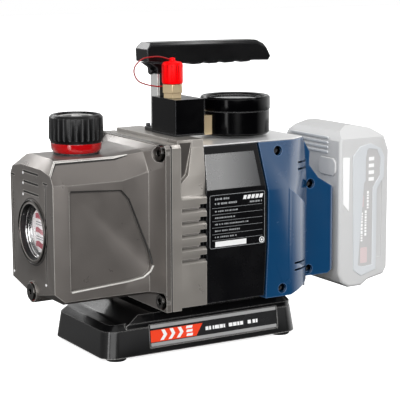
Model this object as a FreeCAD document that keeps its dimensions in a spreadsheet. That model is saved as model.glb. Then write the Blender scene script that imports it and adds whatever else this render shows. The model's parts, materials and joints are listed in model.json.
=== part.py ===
import FreeCAD, Part

import math
import os
import re

import Sketcher

# Cordless oil-sealed vacuum pump.  Frame: +Z up, +X from the oil tank to the battery,
# -Y the labelled side.  The origin is on the floor, under the middle of the whole object.
# All sizes are in millimetres.

SIZES = {
    # base tray
    "base_front": -130, "base_back": 69, "base_side": 52, "base_far": 55, "base_floor": 3,
    "base_rim": 31, "base_draft": 7, "base_round": 13, "base_bevel": 5, "tray_wall": 4,
    "raised_front": -94, "ramp_front": -108, "raised_back": 65, "raised_side": 48.6,
    "raised_top": 37, "raised_bevel": 6, "plinth_side": 40,
    "foot_radius": 10, "foot_front": -115, "foot_back": 54, "foot_side": 42,
    "badge_left": -86, "badge_right": 46, "badge_low": 8.5, "badge_tall": 20, "badge_deep": 1.6,
    "stripe_tall": 3, "flash_long": 52.5, "flash_lean": 7,
    # main stations along X
    "tank_front": -172.3, "tank_nose": -163.5, "tank_waist": -108.5, "tank_flare": -84,
    "flange_front": -76, "gasket_front": -71, "bracket_front": -70, "slab_back": -61, "bracket_back": -35.7,
    "cover_back": 26, "rear_start": 20, "rear_back": 75, "mount_back": 115,
    # main levels and widths
    "flange_side": 62.5, "flange_low": 40.6, "flange_top": 185, "axle_up": 112,
    "shoulder_up": 143, "lid_side": 57.5, "lid_up": 181, "bracket_top": 188,
    # oil tank
    "tank_side": 46, "tank_ridge": 156, "tank_edge": 29, "tank_deck": 176, "tank_low": 54.5,
    "tank_skin": 5, "sight_side": -2, "sight_up": 111.5, "sight_radius": 24.4, "sight_hole": 19, "sight_deep": 11,
    "drain_up": 59, "drain_boss": 9.5, "drain_shank": 5,
    "fill_along": -129, "fill_hole": 15, "neck_radius": 19, "neck_top": 196,
    "ring_low": 177.6, "ring_radius": 21.6, "cap_low": 186.2, "cap_top": 210, "cap_radius": 23.6,
    "cap_ribs": 28, "bolt_side": 54.5, "bolt_high": 178.5, "bolt_low": 49, "bolt_head": 6.2,
    # vane pump inside the tank
    "stator_radius": 36, "stator_front": -112, "bore_radius": 26, "rotor_radius": 22.8,
    "bore_lift": 3.1, "shaft_radius": 8, "vane_thick": 4, "vane_wide": 13,
    # motor
    "motor_front": -28, "motor_rear": 8, "motor_radius": 45, "motor_bore": 27,
    "magnet_radius": 26.4, "can_thick": 2.5, "bearing_radius": 16, "bearing_wide": 11,
    "fan_front": 32, "fan_rear": 44, "fan_radius": 43, "fan_hub": 14, "fan_blades": 9,
    # manifold, gauge and inlet, all on one line beside the handle post
    "port_side": -12, "block_front": -49.4, "block_back": -20.6, "block_low": 189.4,
    "block_top": 220, "block_half": 21.4, "inlet_along": -40.3, "nut_flats": 17,
    "gauge_along": 24.6, "gauge_radius": 31.5, "gauge_low": 184.6, "gauge_top": 219,
    "coupling_up": 194.6, "coupling_half": 8.6, "inlet_cap_low": 232.4, "inlet_cap_top": 252, "inlet_cap_radius": 9.3,
    # handle
    "handle_side": 16, "handle_half": 11, "handle_front": -56.5, "handle_back": 74,
    "handle_low": 248.5, "handle_top": 267.5, "post_front": -43.5, "post_half": 6.2,
    # rear cover and battery
    "wall": 3, "shell_back": 86.5, "shell_round": 37, "facet_start": 49.5, "facet_lean": 0.553,
    "ledge_fall": 0.75, "rear_shoulder": 139.2, "mount_side": 44, "mount_low": 51, "mount_top": 142,
    "pack_front": 118.5, "pack_back": 175.5, "pack_side": 45, "pack_low": 34, "pack_top": 186,
}

doc = FreeCAD.newDocument("vacuum_pump")
sheet = doc.addObject("Spreadsheet::Sheet", "Sizes")
nodes = {}
V = FreeCAD.Vector


# ---------------------------------------------------------------- helpers

def fill_sheet():
    """Write every driving dimension to the sheet, under its own alias."""
    for row, (name, value) in enumerate(SIZES.items(), start=1):
        sheet.set("A%d" % row, name)
        sheet.set("B%d" % row, str(value))
        sheet.setAlias("B%d" % row, name)
    doc.recompute()


def size(name):
    """Value of one cell of the sheet."""
    return float(sheet.get(name))


def cell(text):
    """Turn the aliases in an expression into references to the sheet."""
    def refer(word):
        return "Sizes." + word.group(0) if word.group(0) in SIZES else word.group(0)
    return re.sub(r"[a-z_]\w+", refer, str(text))


def bind(item, prop, text):
    item.setExpression(prop, cell(text))


def seat(item, x, y, z):
    """Bind an object's position to expressions."""
    for axis, text in zip("xyz", (x, y, z)):
        bind(item, "Placement.Base." + axis, text)


def node(name, item):
    """Name the finished object of one sub-part."""
    item.Label = name
    nodes[name] = item
    return item


def block(name, x, y, z):
    """Box between two corners, each axis given as a (low, high) pair."""
    item = doc.addObject("Part::Box", name)
    for prop, (low, high) in zip(("Length", "Width", "Height"), (x, y, z)):
        bind(item, prop, "(%s) - (%s)" % (high, low))
    seat(item, x[0], y[0], z[0])
    return item


TURN = {"x": FreeCAD.Rotation(V(0, 1, 0), 90), "y": FreeCAD.Rotation(V(1, 0, 0), -90),
        "z": FreeCAD.Rotation()}


def lay(item, axis, low, centre):
    """Turn a solid made along Z onto an axis and put its start at `low`."""
    item.Placement.Rotation = TURN[axis]
    spot = {"x": (low, centre[0], centre[1]), "y": (centre[0], low, centre[1]),
            "z": (centre[0], centre[1], low)}
    seat(item, *spot[axis])


def rod(name, axis, radius, low, high, centre):
    item = doc.addObject("Part::Cylinder", name)
    bind(item, "Radius", radius)
    bind(item, "Height", "(%s) - (%s)" % (high, low))
    lay(item, axis, low, centre)
    return item


def taper(name, axis, start, end, low, high, centre):
    """Cone frustum from radius `start` to radius `end`."""
    item = doc.addObject("Part::Cone", name)
    bind(item, "Radius1", start)
    bind(item, "Radius2", end)
    bind(item, "Height", "(%s) - (%s)" % (high, low))
    lay(item, axis, low, centre)
    return item


def hexagon(name, axis, flats, low, high, centre):
    item = doc.addObject("Part::Prism", name)
    item.Polygon = 6
    bind(item, "Circumradius", "(%s) / sqrt(3)" % flats)
    bind(item, "Height", "(%s) - (%s)" % (high, low))
    lay(item, axis, low, centre)
    return item


def fuse(name, *items):
    item = doc.addObject("Part::MultiFuse", name)
    item.Shapes = list(items)
    item.Refine = True
    return item


def cut(name, base, *tools):
    item = doc.addObject("Part::Cut", name)
    item.Base = base
    item.Tool = tools[0] if len(tools) == 1 else fuse(name + "_tools", *tools)
    return item


def group(name, *items):
    """Separate solids that share one node."""
    item = doc.addObject("Part::Compound", name)
    item.Links = list(items)
    return item


def tube(name, axis, outer, inner, low, high, centre):
    return cut(name, rod(name + "_outer", axis, outer, low, high, centre),
               rod(name + "_bore", axis, inner, low + " - 1", high + " + 1", centre))


def mirror_side(name, item):
    """Copy of a solid on the other side of the XZ plane."""
    copy = doc.addObject("Part::Mirroring", name)
    copy.Source = item
    copy.Normal = V(0, 1, 0)
    return copy


def origin_plane(body, role):
    return next(f for f in body.Origin.OriginFeatures if f.Role == role)


def outline(body, role, offset, points):
    """Closed sketch of straight lines, its corners bound to the sheet."""
    sketch = body.newObject("Sketcher::SketchObject", body.Name + "_outline")
    sketch.AttachmentSupport = [(origin_plane(body, role), "")]
    sketch.MapMode = "FlatFace"
    bind(sketch, "AttachmentOffset.Base.z", offset)
    count = len(points)
    first = [V(40 * math.cos(2 * math.pi * i / count), 40 * math.sin(2 * math.pi * i / count), 0)
             for i in range(count)]
    for i in range(count):
        sketch.addGeometry(Part.LineSegment(first[i], first[(i + 1) % count]))
    joins = [Sketcher.Constraint("Coincident", i, 2, (i + 1) % count, 1) for i in range(count)]
    sketch.addConstraint(joins)
    for i, (across, up) in enumerate(points):
        for kind, text, value in (("DistanceX", across, first[i].x), ("DistanceY", up, first[i].y)):
            index = sketch.addConstraint(Sketcher.Constraint(kind, -1, 1, i, 1, value))
            bind(sketch, "Constraints[%d]" % index, text)
    return sketch


def new_body(name):
    return doc.addObject("PartDesign::Body", name)


def pad(body, sketch, length, draft=0):
    feature = body.newObject("PartDesign::Pad", body.Name + "_pad")
    feature.Profile = sketch
    bind(feature, "Length", length)
    if draft:
        bind(feature, "TaperAngle", draft)
    doc.recompute()
    return feature


def turned(name, points):
    """Body of revolution; its profile is drawn in the XZ plane around the vertical axis."""
    body = new_body(name)
    sketch = outline(body, "XZ_Plane", 0, points)
    feature = body.newObject("PartDesign::Revolution", name + "_turn")
    feature.Profile = sketch
    feature.ReferenceAxis = (sketch, ["V_Axis"])
    feature.Angle = 360
    doc.recompute()
    return body


def dress(body, kind, feature, amount, chosen):
    """Fillet or Chamfer on the edges of `feature` that the test picks."""
    names = ["Edge%d" % (i + 1) for i, edge in enumerate(feature.Shape.Edges) if chosen(edge)]
    item = body.newObject("PartDesign::" + kind, body.Name + "_" + kind.lower())
    item.Base = (feature, names)
    bind(item, "Radius" if kind == "Fillet" else "Size", amount)
    doc.recompute()
    return item


def prism(name, role, start, length, points):
    """Straight extrusion of an outline, from `start` along the plane's normal."""
    body = new_body(name)
    pad(body, outline(body, role, start, points), length)
    return body


def section(inset):
    """Six-sided section of the motor housing, moved inwards by `inset`."""
    side, top_side = "flange_side - (%s)" % inset, "lid_side - (%s)" % inset
    low, top = "flange_low + 2.4 + (%s)" % inset, "lid_up - (%s)" % inset
    return [("-(%s)" % side, low), (side, low), (side, "shoulder_up"), (top_side, top),
            ("-(%s)" % top_side, top), ("-(%s)" % side, "shoulder_up")]


def ordered(sign, near, far):
    """Span between two distances from the middle, on the side that the sign names."""
    return ("-(%s)" % far, "-(%s)" % near) if sign == "-" else (near, far)


def is_upright(edge):
    """True for a straight edge that is vertical or nearly so."""
    ends = edge.Vertexes
    return len(ends) == 2 and abs(edge.tangentAt(edge.FirstParameter).z) > 0.97


def is_along_x(edge):
    """True for a straight edge that runs along X."""
    return len(edge.Vertexes) == 2 and abs(edge.tangentAt(edge.FirstParameter).x) > 0.9999


# ---------------------------------------------------------------- base

def build_base():
    body = new_body("tray_body")
    rim = [("base_front", "-base_side"), ("base_back", "-base_side"),
           ("base_back", "base_far"), ("base_front", "base_far")]
    lower = pad(body, outline(body, "XY_Plane", "base_floor", rim), "base_rim - base_floor",
                "-base_draft")
    rounded = dress(body, "Fillet", lower, "base_round", is_upright)
    top = size("base_rim") - 0.01
    dress(body, "Chamfer", rounded, "base_bevel", lambda edge: edge.BoundBox.ZMin > top)

    raised = new_body("raised_body")
    profile = [("ramp_front", "base_rim - 1"), ("raised_front", "raised_top"),
               ("raised_back", "raised_top"), ("raised_back", "base_rim - 8"),
               ("ramp_front", "base_rim - 8")]
    ridge = pad(raised, outline(raised, "XZ_Plane", "-raised_side", profile), "2 * raised_side")
    back = size("raised_back") - 0.1
    turned_ends = dress(raised, "Fillet", ridge, "base_round - 2",
                        lambda edge: is_upright(edge) and edge.BoundBox.XMin > back)
    high, front = size("raised_top") - 0.01, size("raised_front") + 0.1
    dress(raised, "Chamfer", turned_ends, "raised_bevel",
          lambda edge: edge.BoundBox.ZMin > high and edge.BoundBox.XMax > front)

    plinth = block("plinth", ("bracket_front + 2", "raised_back - 8"),
                   ("-plinth_side", "plinth_side"), ("raised_top - 1", "flange_low"))
    hollow = [block("hollow_middle", ("base_front + 2 * tray_wall", "base_back - 2 * tray_wall"),
                    ("-foot_side + 14", "foot_side - 14"), ("0", "base_rim - tray_wall")),
              block("hollow_wide", ("foot_front + 14", "foot_back - 14"),
                    ("-base_side + 2 * tray_wall", "base_side - 2 * tray_wall"),
                    ("0", "base_rim - tray_wall"))]
    recess = front_plate("badge_recess", "badge_left", "badge_right", "badge_low", "badge_tall",
                         "-2", "badge_deep")
    whole = fuse("tray_whole", body, raised, plinth)
    node("base_tray", cut("tray", whole, recess, *hollow))

    feet = [taper("foot", "z", "foot_radius - 1.5", "foot_radius", "0", "base_floor", (x, y))
            for x in ("foot_front", "foot_back") for y in ("-foot_side", "foot_side")]
    node("base_feet", group("feet", *feet))


def front_plate(name, left, right, low, tall, outer, inner):
    """Thin box laid on the drafted front of the base; depths are measured into the tray."""
    item = doc.addObject("Part::Box", name)
    bind(item, "Length", "(%s) - (%s)" % (right, left))
    bind(item, "Width", "(%s) - (%s)" % (inner, outer))
    bind(item, "Height", tall)
    item.Placement.Rotation = FreeCAD.Rotation(V(1, 0, 0), -size("base_draft"))
    seat(item, left, "-base_side + (%s - base_floor) * tan(base_draft * 1deg) + (%s)" % (low, outer), low)
    return item


def build_badge():
    """Inlay of the front recess: a dark plate, two stripes and a slanted flash."""
    node("badge_plate", front_plate("badge_back", "badge_left + 0.3", "badge_right - 0.3",
                                    "badge_low + 0.5", "badge_tall - 1", "0.6", "badge_deep - 0.02"))
    lines = [front_plate("stripe", "badge_left + 1", "badge_right - 1", low, "stripe_tall",
                         "0.1", "0.58")
             for low in ("badge_low + 0.6", "badge_low + badge_tall - stripe_tall - 0.8")]
    node("badge_stripes", group("stripes", *lines))
    flash = new_body("flash_body")
    low, high = "badge_low + stripe_tall + 1.2", "badge_low + badge_tall - stripe_tall - 2.4"
    corners = [("badge_left + 1", low), ("badge_left + 1 + flash_long - flash_lean", low),
               ("badge_left + 1 + flash_long", high), ("badge_left + 1", high)]
    pad(flash, outline(flash, "XZ_Plane", "0", corners), "0.4")
    flash.Placement.Rotation = FreeCAD.Rotation(V(1, 0, 0), -size("base_draft"))
    seat(flash, "0", "-base_side + 0.58 - base_floor * tan(base_draft * 1deg)", "0")
    node("badge_flash", flash)


# ---------------------------------------------------------------- oil tank

def tank_section(side, keel, ridge, crown):
    """Twelve-sided section: shallow keel, upright sides, sloped shoulders and a flat deck."""
    low, bilge, chine = keel
    edge, deck, drop, flat = crown
    right = [("13", low), ("%s - 5" % side, "%s + %s" % (low, chine)),
             (side, "%s + %s" % (low, bilge)), (side, ridge), (edge, "%s - %s" % (deck, drop)),
             (flat, deck)]
    return right + [("-(%s)" % across, up) for across, up in reversed(right)]


def build_tank():
    body = new_body("tank_body")
    main = tank_section("tank_side", ("tank_low", "3", "0"), "tank_ridge",
                        ("tank_edge", "tank_deck", "1.8", "tank_edge - 9"))
    nose = tank_section("tank_side", ("tank_low + 3.5", "7", "6"), "tank_ridge - 2.5",
                        ("tank_side - 7", "tank_deck - 8.7", "3.5", "21"))
    pad(body, outline(body, "YZ_Plane", "tank_nose", main), "tank_waist - tank_nose")
    rule(body, [("tank_front", nose), ("tank_nose", main)])
    flare = tank_section("tank_side + 1", ("tank_low", "3", "0"), "tank_ridge + 6",
                         ("tank_edge + 8", "tank_deck + 4", "1.8", "tank_edge"))
    root = tank_section("flange_side - 1.5", ("tank_low", "3", "0"), "tank_ridge + 10",
                        ("flange_side - 6", "flange_top - 1", "1.6", "tank_edge + 16"))
    rule(body, [("tank_waist", main), ("tank_flare", flare), ("flange_front", root)])
    flange = [("-flange_side", "flange_low"), ("flange_side", "flange_low"),
              ("flange_side", "flange_top"), ("-flange_side", "flange_top")]
    rim = pad(body, outline(body, "YZ_Plane", "flange_front", flange), "gasket_front - flange_front")
    back = size("gasket_front") - 0.01
    top = size("flange_top") - 0.1
    dress(body, "Chamfer", rim, "2.5",
          lambda edge: is_along_x(edge) and edge.BoundBox.ZMin > top and edge.BoundBox.XMax > back)

    boss = rod("drain_boss", "x", "drain_boss", "tank_front - 1.5", "tank_front + 16",
               ("0", "drain_up"))
    lip = taper("sight_lip", "x", "sight_radius + 0.5", "sight_radius + 4.1", "tank_front - 1.7",
                "tank_front", ("sight_side", "sight_up"))
    outer = fuse("tank_outer", body, boss, lip)
    node("oil_tank", cut("tank", outer, *(tank_details() + tank_hollows())))


def rule(body, stations):
    """Straight-sided transition through sections at several places along X."""
    sketches = [outline(body, "YZ_Plane", along, points) for along, points in stations]
    loft = body.newObject("PartDesign::AdditiveLoft", body.Name + "_loft")
    loft.Profile = sketches[0]
    loft.Sections = sketches[1:]
    loft.Ruled = True
    doc.recompute()


def tank_details():
    """Surface cuts of the casting: grooves, side panels and screw pockets."""
    tools = []
    for sign in ("-", ""):
        tools.append(prism("corner_slope", "XY_Plane", "30", "190",
                           [("tank_front - 1", sign + "(tank_side - 2.5)"),
                            ("tank_front + 14", sign + "(tank_side + 0.2)"),
                            ("tank_front + 14", sign + "(tank_side + 8)"),
                            ("tank_front - 1", sign + "(tank_side + 8)")]))
        tools.append(prism("side_panel", "XZ_Plane",
                           "tank_side - 1.6" if sign == "-" else "-tank_side - 6", "7.6",
                           [("tank_front + 14", "66"), ("-103", "69.5"), ("-90", "71.5"),
                            ("-84", "76"), ("-83", "82"), ("-86", "97"), ("-103", "140"),
                            ("-110", "148"), ("tank_front + 14", "150.5")]))
        for up in ("bolt_high", "bolt_low"):
            centre = (sign + "bolt_side", up)
            tools.append(rod("head_room", "x", "bolt_head + 1.6", "flange_front - 14",
                             "gasket_front - 1.2", centre))
            tools.append(rod("bolt_hole", "x", "4.3", "gasket_front - 4", "gasket_front + 1", centre))
        tools.append(block("head_way", ("flange_front - 14", "flange_front - 0.2"),
                           ordered(sign, "bolt_side", "bolt_side + 14"),
                           ("bolt_high - bolt_head - 1.6", "bolt_high + bolt_head + 1.6")))
    for side in ("-28.4", "38.6"):
        for wide, low in (("1", "70"), ("4.6", "155.6")):
            tools.append(block("border_groove", ("tank_front - 2", "tank_front + 1.2"),
                               ("%s - %s" % (side, wide), "%s + %s" % (side, wide)), (low, "157")))
    for up in ("162", "153.2", "144.4"):
        tools.append(block("louvre", ("tank_front - 2", "tank_front + 1.8"), ("-15", "16.5"),
                           ("%s - 0.9" % up, "%s + 0.9" % up)))
    return tools


def tank_hollows():
    """Oil space and the openings into it."""
    return [block("oil_space", ("tank_front + 13", "gasket_front + 1"),
                  ("-tank_side + tank_skin", "tank_side - tank_skin"), ("66", "157")),
            block("oil_space_top", ("tank_front + 13", "gasket_front + 1"),
                  ("-tank_edge + tank_skin", "tank_edge - tank_skin"), ("156", "tank_deck - 6")),
            rod("sight_seat", "x", "sight_radius", "tank_front - 4", "tank_front + sight_deep",
                ("sight_side", "sight_up")),
            rod("sight_way", "x", "sight_hole", "tank_front", "tank_front + 15", ("sight_side", "sight_up")),
            rod("drain_seat", "x", "8.2", "tank_front - 3", "tank_front + 0.6", ("0", "drain_up")),
            rod("drain_way", "x", "drain_shank + 0.05", "tank_front", "tank_front + 17",
                ("0", "drain_up")),
            block("drain_gallery", ("tank_front + 10", "tank_front + 14.5"), ("-4", "4"),
                  ("drain_up", "70")),
            rod("fill_way", "z", "fill_hole", "160", "190", ("fill_along", "0"))]


def build_tank_fittings():
    centre = ("sight_side", "sight_up")
    bottom = "tank_front + sight_deep"
    node("oil_level_card", rod("card", "x", "sight_hole + 1.5", bottom + " - 1", bottom, centre))
    node("sight_glass_lens", rod("lens", "x", "sight_hole + 2.4", bottom + " - 3.6",
                                 bottom + " - 1.2", centre))
    ring = turned("sight_ring", [("sight_hole - 0.4", "3.7"), ("sight_hole - 0.1", "4.3"),
                                 ("sight_radius - 2", "4.7"), ("sight_radius - 1.4", "5.8"),
                                 ("sight_radius - 0.05", "5.5"), ("sight_radius - 0.05", "0"),
                                 ("sight_hole + 2.5", "0"), ("sight_hole + 2.5", "3.7")])
    ring.Placement.Rotation = FreeCAD.Rotation(V(0, 1, 0), -90)
    seat(ring, bottom, "sight_side", "sight_up")
    node("sight_glass_bezel", ring)

    drain = ("0", "drain_up")
    head = rod("drain_head", "x", "7.4", "tank_front - 3.2", "tank_front - 0.5", drain)
    shank = rod("drain_thread", "x", "drain_shank", "tank_front - 1", "tank_front + 9", drain)
    socket = hexagon("drain_socket", "x", "5", "tank_front - 4", "tank_front + 2.5", drain)
    node("drain_plug", cut("plug", fuse("plug_solid", head, shank), socket))
    node("drain_seal", tube("seal_ring", "x", "8", "drain_shank + 0.4", "tank_front - 0.35",
                            "tank_front + 0.55", drain))

    heads = []
    for side in ("-bolt_side", "bolt_side"):
        for up in ("bolt_low", "bolt_high"):
            spot = (side, up)
            solid = fuse("bolt_solid",
                         rod("bolt_top", "x", "bolt_head", "gasket_front - 7.7",
                             "gasket_front - 1.2", spot),
                         rod("bolt_shank", "x", "3.9", "gasket_front - 3", "bracket_front + 6", spot))
            heads.append(cut("bolt", solid, hexagon("bolt_socket", "x", "6", "gasket_front - 9",
                                                    "gasket_front - 4.2", spot)))
    node("tank_screws", group("tank_screw_set", *heads))

    seal = block("gasket_sheet", ("gasket_front", "bracket_front"), ("-flange_side", "flange_side"),
                 ("flange_low", "flange_top - 0.5"))
    holes = [rod("gasket_hole", "x", "4.3", "gasket_front - 1", "bracket_front + 1", (side, up))
             for side in ("-bolt_side", "bolt_side") for up in ("bolt_low", "bolt_high")]
    window = block("gasket_window", ("gasket_front - 1", "bracket_front + 1"), ("-41", "41"),
                   ("66", "157"))
    node("tank_gasket", cut("gasket", seal, window, *holes))


def build_fill():
    """Filler neck on the deck, and the cap that screws down on it."""
    node("fill_neck", turned_at("neck", [("fill_hole - 0.4", "tank_deck - 8"),
                                         ("fill_hole - 0.1", "tank_deck - 8"),
                                         ("fill_hole - 0.1", "tank_deck"),
                                         ("neck_radius + 1", "tank_deck"),
                                         ("neck_radius + 1", "tank_deck + 1.2"),
                                         ("neck_radius", "tank_deck + 1.2"),
                                         ("neck_radius", "neck_top"),
                                         ("fill_hole - 0.4", "neck_top")], "fill_along", "0"))
    node("fill_cap_ring", turned_at("cap_ring", [("neck_radius + 0.4", "ring_low"),
                                                 ("ring_radius - 1.6", "ring_low"),
                                                 ("ring_radius", "ring_low + 2.4"),
                                                 ("ring_radius + 0.6", "cap_low - 0.5"),
                                                 ("neck_radius + 0.4", "cap_low - 0.5")],
                                    "fill_along", "0"))
    body = turned_at("cap_turned", [("neck_radius + 0.4", "cap_low"), ("cap_radius - 1.6", "cap_low"),
                                    ("cap_radius", "cap_low + 3.5"), ("cap_radius - 0.4", "cap_top - 2.5"),
                                    ("cap_radius - 2.4", "cap_top - 0.4"), ("cap_radius - 4.4", "cap_top"),
                                    ("cap_radius - 5.2", "cap_top - 2.6"), ("0", "cap_top - 2.6"),
                                    ("0", "cap_top - 8"), ("neck_radius + 0.4", "cap_top - 8")],
                     "fill_along", "0")
    groove = rod("cap_groove", "z", "1.15", "cap_low + 2.6", "cap_top + 1", ("cap_radius + 0.45", "0"))
    ring = polar("cap_grooves", groove, "cap_ribs", "fill_along", "0")
    node("fill_cap", cut("cap", body, ring))


def turned_at(name, points, along, across):
    body = turned(name, points)
    seat(body, along, across, "0")
    return body


def polar(name, item, count, along, across):
    """Copies of a solid around a vertical axis, as one compound."""
    doc.recompute()
    number = int(size(count))
    copies = []
    for i in range(number):
        copy = doc.addObject("Part::Feature", name + "_copy")
        shape = item.Shape.copy()
        shape.rotate(V(0, 0, 0), V(0, 0, 1), 360.0 * i / number)
        shape.translate(V(size(along), float(across), 0))
        copy.Shape = shape
        copies.append(copy)
    return group(name, *copies)


# ---------------------------------------------------------------- vane pump

AXLE = ("0", "axle_up")


def build_pump():
    """Oil-sealed vane pump that stands in the tank, bolted to the bracket."""
    bore = ("0", "axle_up + bore_lift")
    barrel = rod("barrel", "x", "stator_radius", "stator_front", "bracket_front", AXLE)
    chamber = rod("chamber", "x", "bore_radius", "stator_front - 1", "bracket_front + 1", bore)
    flat = block("valve_flat", ("stator_front + 10", "bracket_front - 8"), ("-24", "24"),
                 ("axle_up + stator_radius - 3", "axle_up + stator_radius + 2"))
    port = rod("outlet_port", "z", "2", "axle_up + bore_radius", "axle_up + stator_radius + 1",
               ("stator_front + 21", "8"))
    node("pump_stator", cut("stator", barrel, chamber, flat, port))
    plate = rod("end_disc", "x", "stator_radius", "stator_front - 8", "stator_front", AXLE)
    journal = rod("end_bore", "x", "shaft_radius + 0.05", "stator_front - 9", "stator_front + 1", AXLE)
    node("pump_end_plate", cut("end_plate", plate, journal))
    valve = block("valve_body", ("stator_front + 14", "stator_front + 30"), ("-12", "14"),
                  ("axle_up + stator_radius - 3", "axle_up + stator_radius + 4"))
    slot = block("valve_slot", ("stator_front + 16", "stator_front + 28"), ("-13", "10"),
                 ("axle_up + stator_radius - 1.6", "axle_up + stator_radius + 1.5"))
    node("exhaust_valve", cut("valve", valve, slot))

    core = rod("rotor_core", "x", "rotor_radius", "stator_front + 0.15", "bracket_front - 0.15", AXLE)
    hole = rod("rotor_hole", "x", "shaft_radius", "stator_front - 1", "bracket_front + 1", AXLE)
    slots = []
    vanes = []
    for start, end in (("rotor_radius - vane_wide - 0.7", "rotor_radius + 1"),
                       ("-rotor_radius - 1", "-rotor_radius + vane_wide + 0.7")):
        slots.append(block("rotor_slot", ("stator_front - 1", "bracket_front + 1"),
                           ("-vane_thick / 2", "vane_thick / 2"),
                           ("axle_up + (%s)" % start, "axle_up + (%s)" % end)))
    for start in ("rotor_radius - vane_wide - 0.3", "0.3 - rotor_radius"):
        vanes.append(block("vane", ("stator_front + 0.3", "bracket_front - 0.3"),
                           ("0.06 - vane_thick / 2", "vane_thick / 2 - 0.06"),
                           ("axle_up + (%s)" % start, "axle_up + (%s) + vane_wide" % start)))
    node("pump_rotor", cut("rotor", core, hole, *slots))
    node("rotor_vanes", group("vane_pair", *vanes))
    node("shaft_seal", tube("seal", "x", "14", "shaft_radius + 0.05", "bracket_front + 1",
                            "slab_back - 1", AXLE))


# ---------------------------------------------------------------- bracket and motor housing

def shell(name, inset, thickness, start, length):
    """Open-ended length of the motor housing section."""
    outer = prism(name + "_outer", "YZ_Plane", start, length, section(inset))
    inner = prism(name + "_inner", "YZ_Plane", "(%s) - 1" % start, "(%s) + 2" % length,
                  section("(%s) + (%s)" % (inset, thickness)))
    return cut(name + "_shell", outer, inner)


def build_bracket():
    slab = new_body("slab_body")
    plate = [("-flange_side", "flange_low"), ("flange_side", "flange_low"),
             ("flange_side", "flange_top"), ("-flange_side", "flange_top")]
    face = pad(slab, outline(slab, "YZ_Plane", "bracket_front", plate), "slab_back - bracket_front")
    top = size("flange_top") - 0.1
    dress(slab, "Chamfer", face, "2.5", lambda edge: is_along_x(edge) and edge.BoundBox.ZMin > top)
    skirt = shell("skirt", "0", "6", "slab_back", "bracket_back - slab_back")
    lid = prism("skirt_lid", "YZ_Plane", "slab_back", "bracket_back - slab_back",
                [("-lid_side", "lid_up - 6"), ("lid_side", "lid_up - 6"),
                 ("lid_side - 0.8", "bracket_top"), ("0.8 - lid_side", "bracket_top")])
    hub = rod("hub", "x", "bearing_radius + 7", "slab_back", "slab_back + bearing_wide + 2", AXLE)
    solid = fuse("bracket_solid", slab, skirt, lid, hub)
    bores = [rod("seal_bore", "x", "14", "bracket_front - 1", "slab_back", AXLE),
             rod("bearing_bore", "x", "bearing_radius", "slab_back", "slab_back + bearing_wide + 3",
                 AXLE)]
    for side in ("-bolt_side", "bolt_side"):
        for up in ("bolt_low", "bolt_high"):
            bores.append(rod("tapped_hole", "x", "3.9", "bracket_front - 1", "bracket_front + 7",
                             (side, up)))
    node("centre_bracket", cut("bracket", solid, *(bores + bracket_relief())))


def bracket_relief():
    """Finger ribs, their end notches and the sloped upper faces, on both sides."""
    tools = []
    for sign in (-1, 1):
        flip = "-" if sign < 0 else ""
        tools.append(prism("upper_slope", "YZ_Plane", "slab_back", "bracket_back - slab_back + 1",
                           [(flip + "(flange_side - 2.6)", "140.1"), (flip + "(flange_side - 2.6)", "157"),
                            (flip + "(lid_side - 1.2)", "bracket_top + 1"),
                            (flip + "(flange_side + 2)", "bracket_top + 1"),
                            (flip + "(flange_side + 2)", "140.1")]))
        tools.append(prism("corner_facet", "XZ_Plane",
                           "lid_side - 1.8" if sign < 0 else "-flange_side - 2",
                           "flange_side - lid_side + 3.8",
                           [("slab_back", "150"), ("slab_back + 8.5", "158"),
                            ("slab_back + 15", "bracket_top + 1"), ("slab_back", "bracket_top + 1")]))
        for i in range(5):
            up = "128.9 - %d * 11.15" % i
            depth = (flip + "(flange_side - 2.6)", flip + "(flange_side + 1)")
            through = (flip + "(flange_side - 7)", flip + "(flange_side + 1)")
            if sign < 0:
                depth, through = depth[::-1], through[::-1]
            tools.append(block("rib_gap", ("slab_back + 0.6", "bracket_back + 1"), depth,
                               (up + " - 0.9", up + " + 0.9")))
            tools.append(block("rib_notch", ("bracket_back - 6.6", "bracket_back + 1"), through,
                               (up + " - 0.9", up + " + 3.6")))
            tools.append(rib_bevel(flip, up))
        tools.append(rib_bevel(flip, "140.9"))
    return tools


def rib_bevel(flip, up):
    """Slope along the top of one finger rib."""
    return prism("rib_bevel", "YZ_Plane", "slab_back + 0.6", "bracket_back - slab_back + 1",
                 [(flip + "(flange_side - 2.4)", up + " - 0.8"),
                  (flip + "(flange_side + 0.4)", up + " - 3.8"),
                  (flip + "(flange_side + 0.4)", up + " - 0.8")])


def slanted_end(name, ahead):
    """Everything behind the housing's slanted rear seam, moved forwards by `ahead`."""
    return prism(name, "XZ_Plane", "-80", "160",
                 [("rear_start - (%s)" % ahead, "200"), ("rear_start + 0.5 - (%s)" % ahead, "lid_up"),
                  ("rear_start + 8 - (%s)" % ahead, "shoulder_up - 6"),
                  ("rear_start + 8 - (%s)" % ahead, "90"),
                  ("rear_start + 5.5 - (%s)" % ahead, "flange_low"),
                  ("rear_start + 5.5 - (%s)" % ahead, "30"), ("60", "30"), ("60", "200")])


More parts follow.
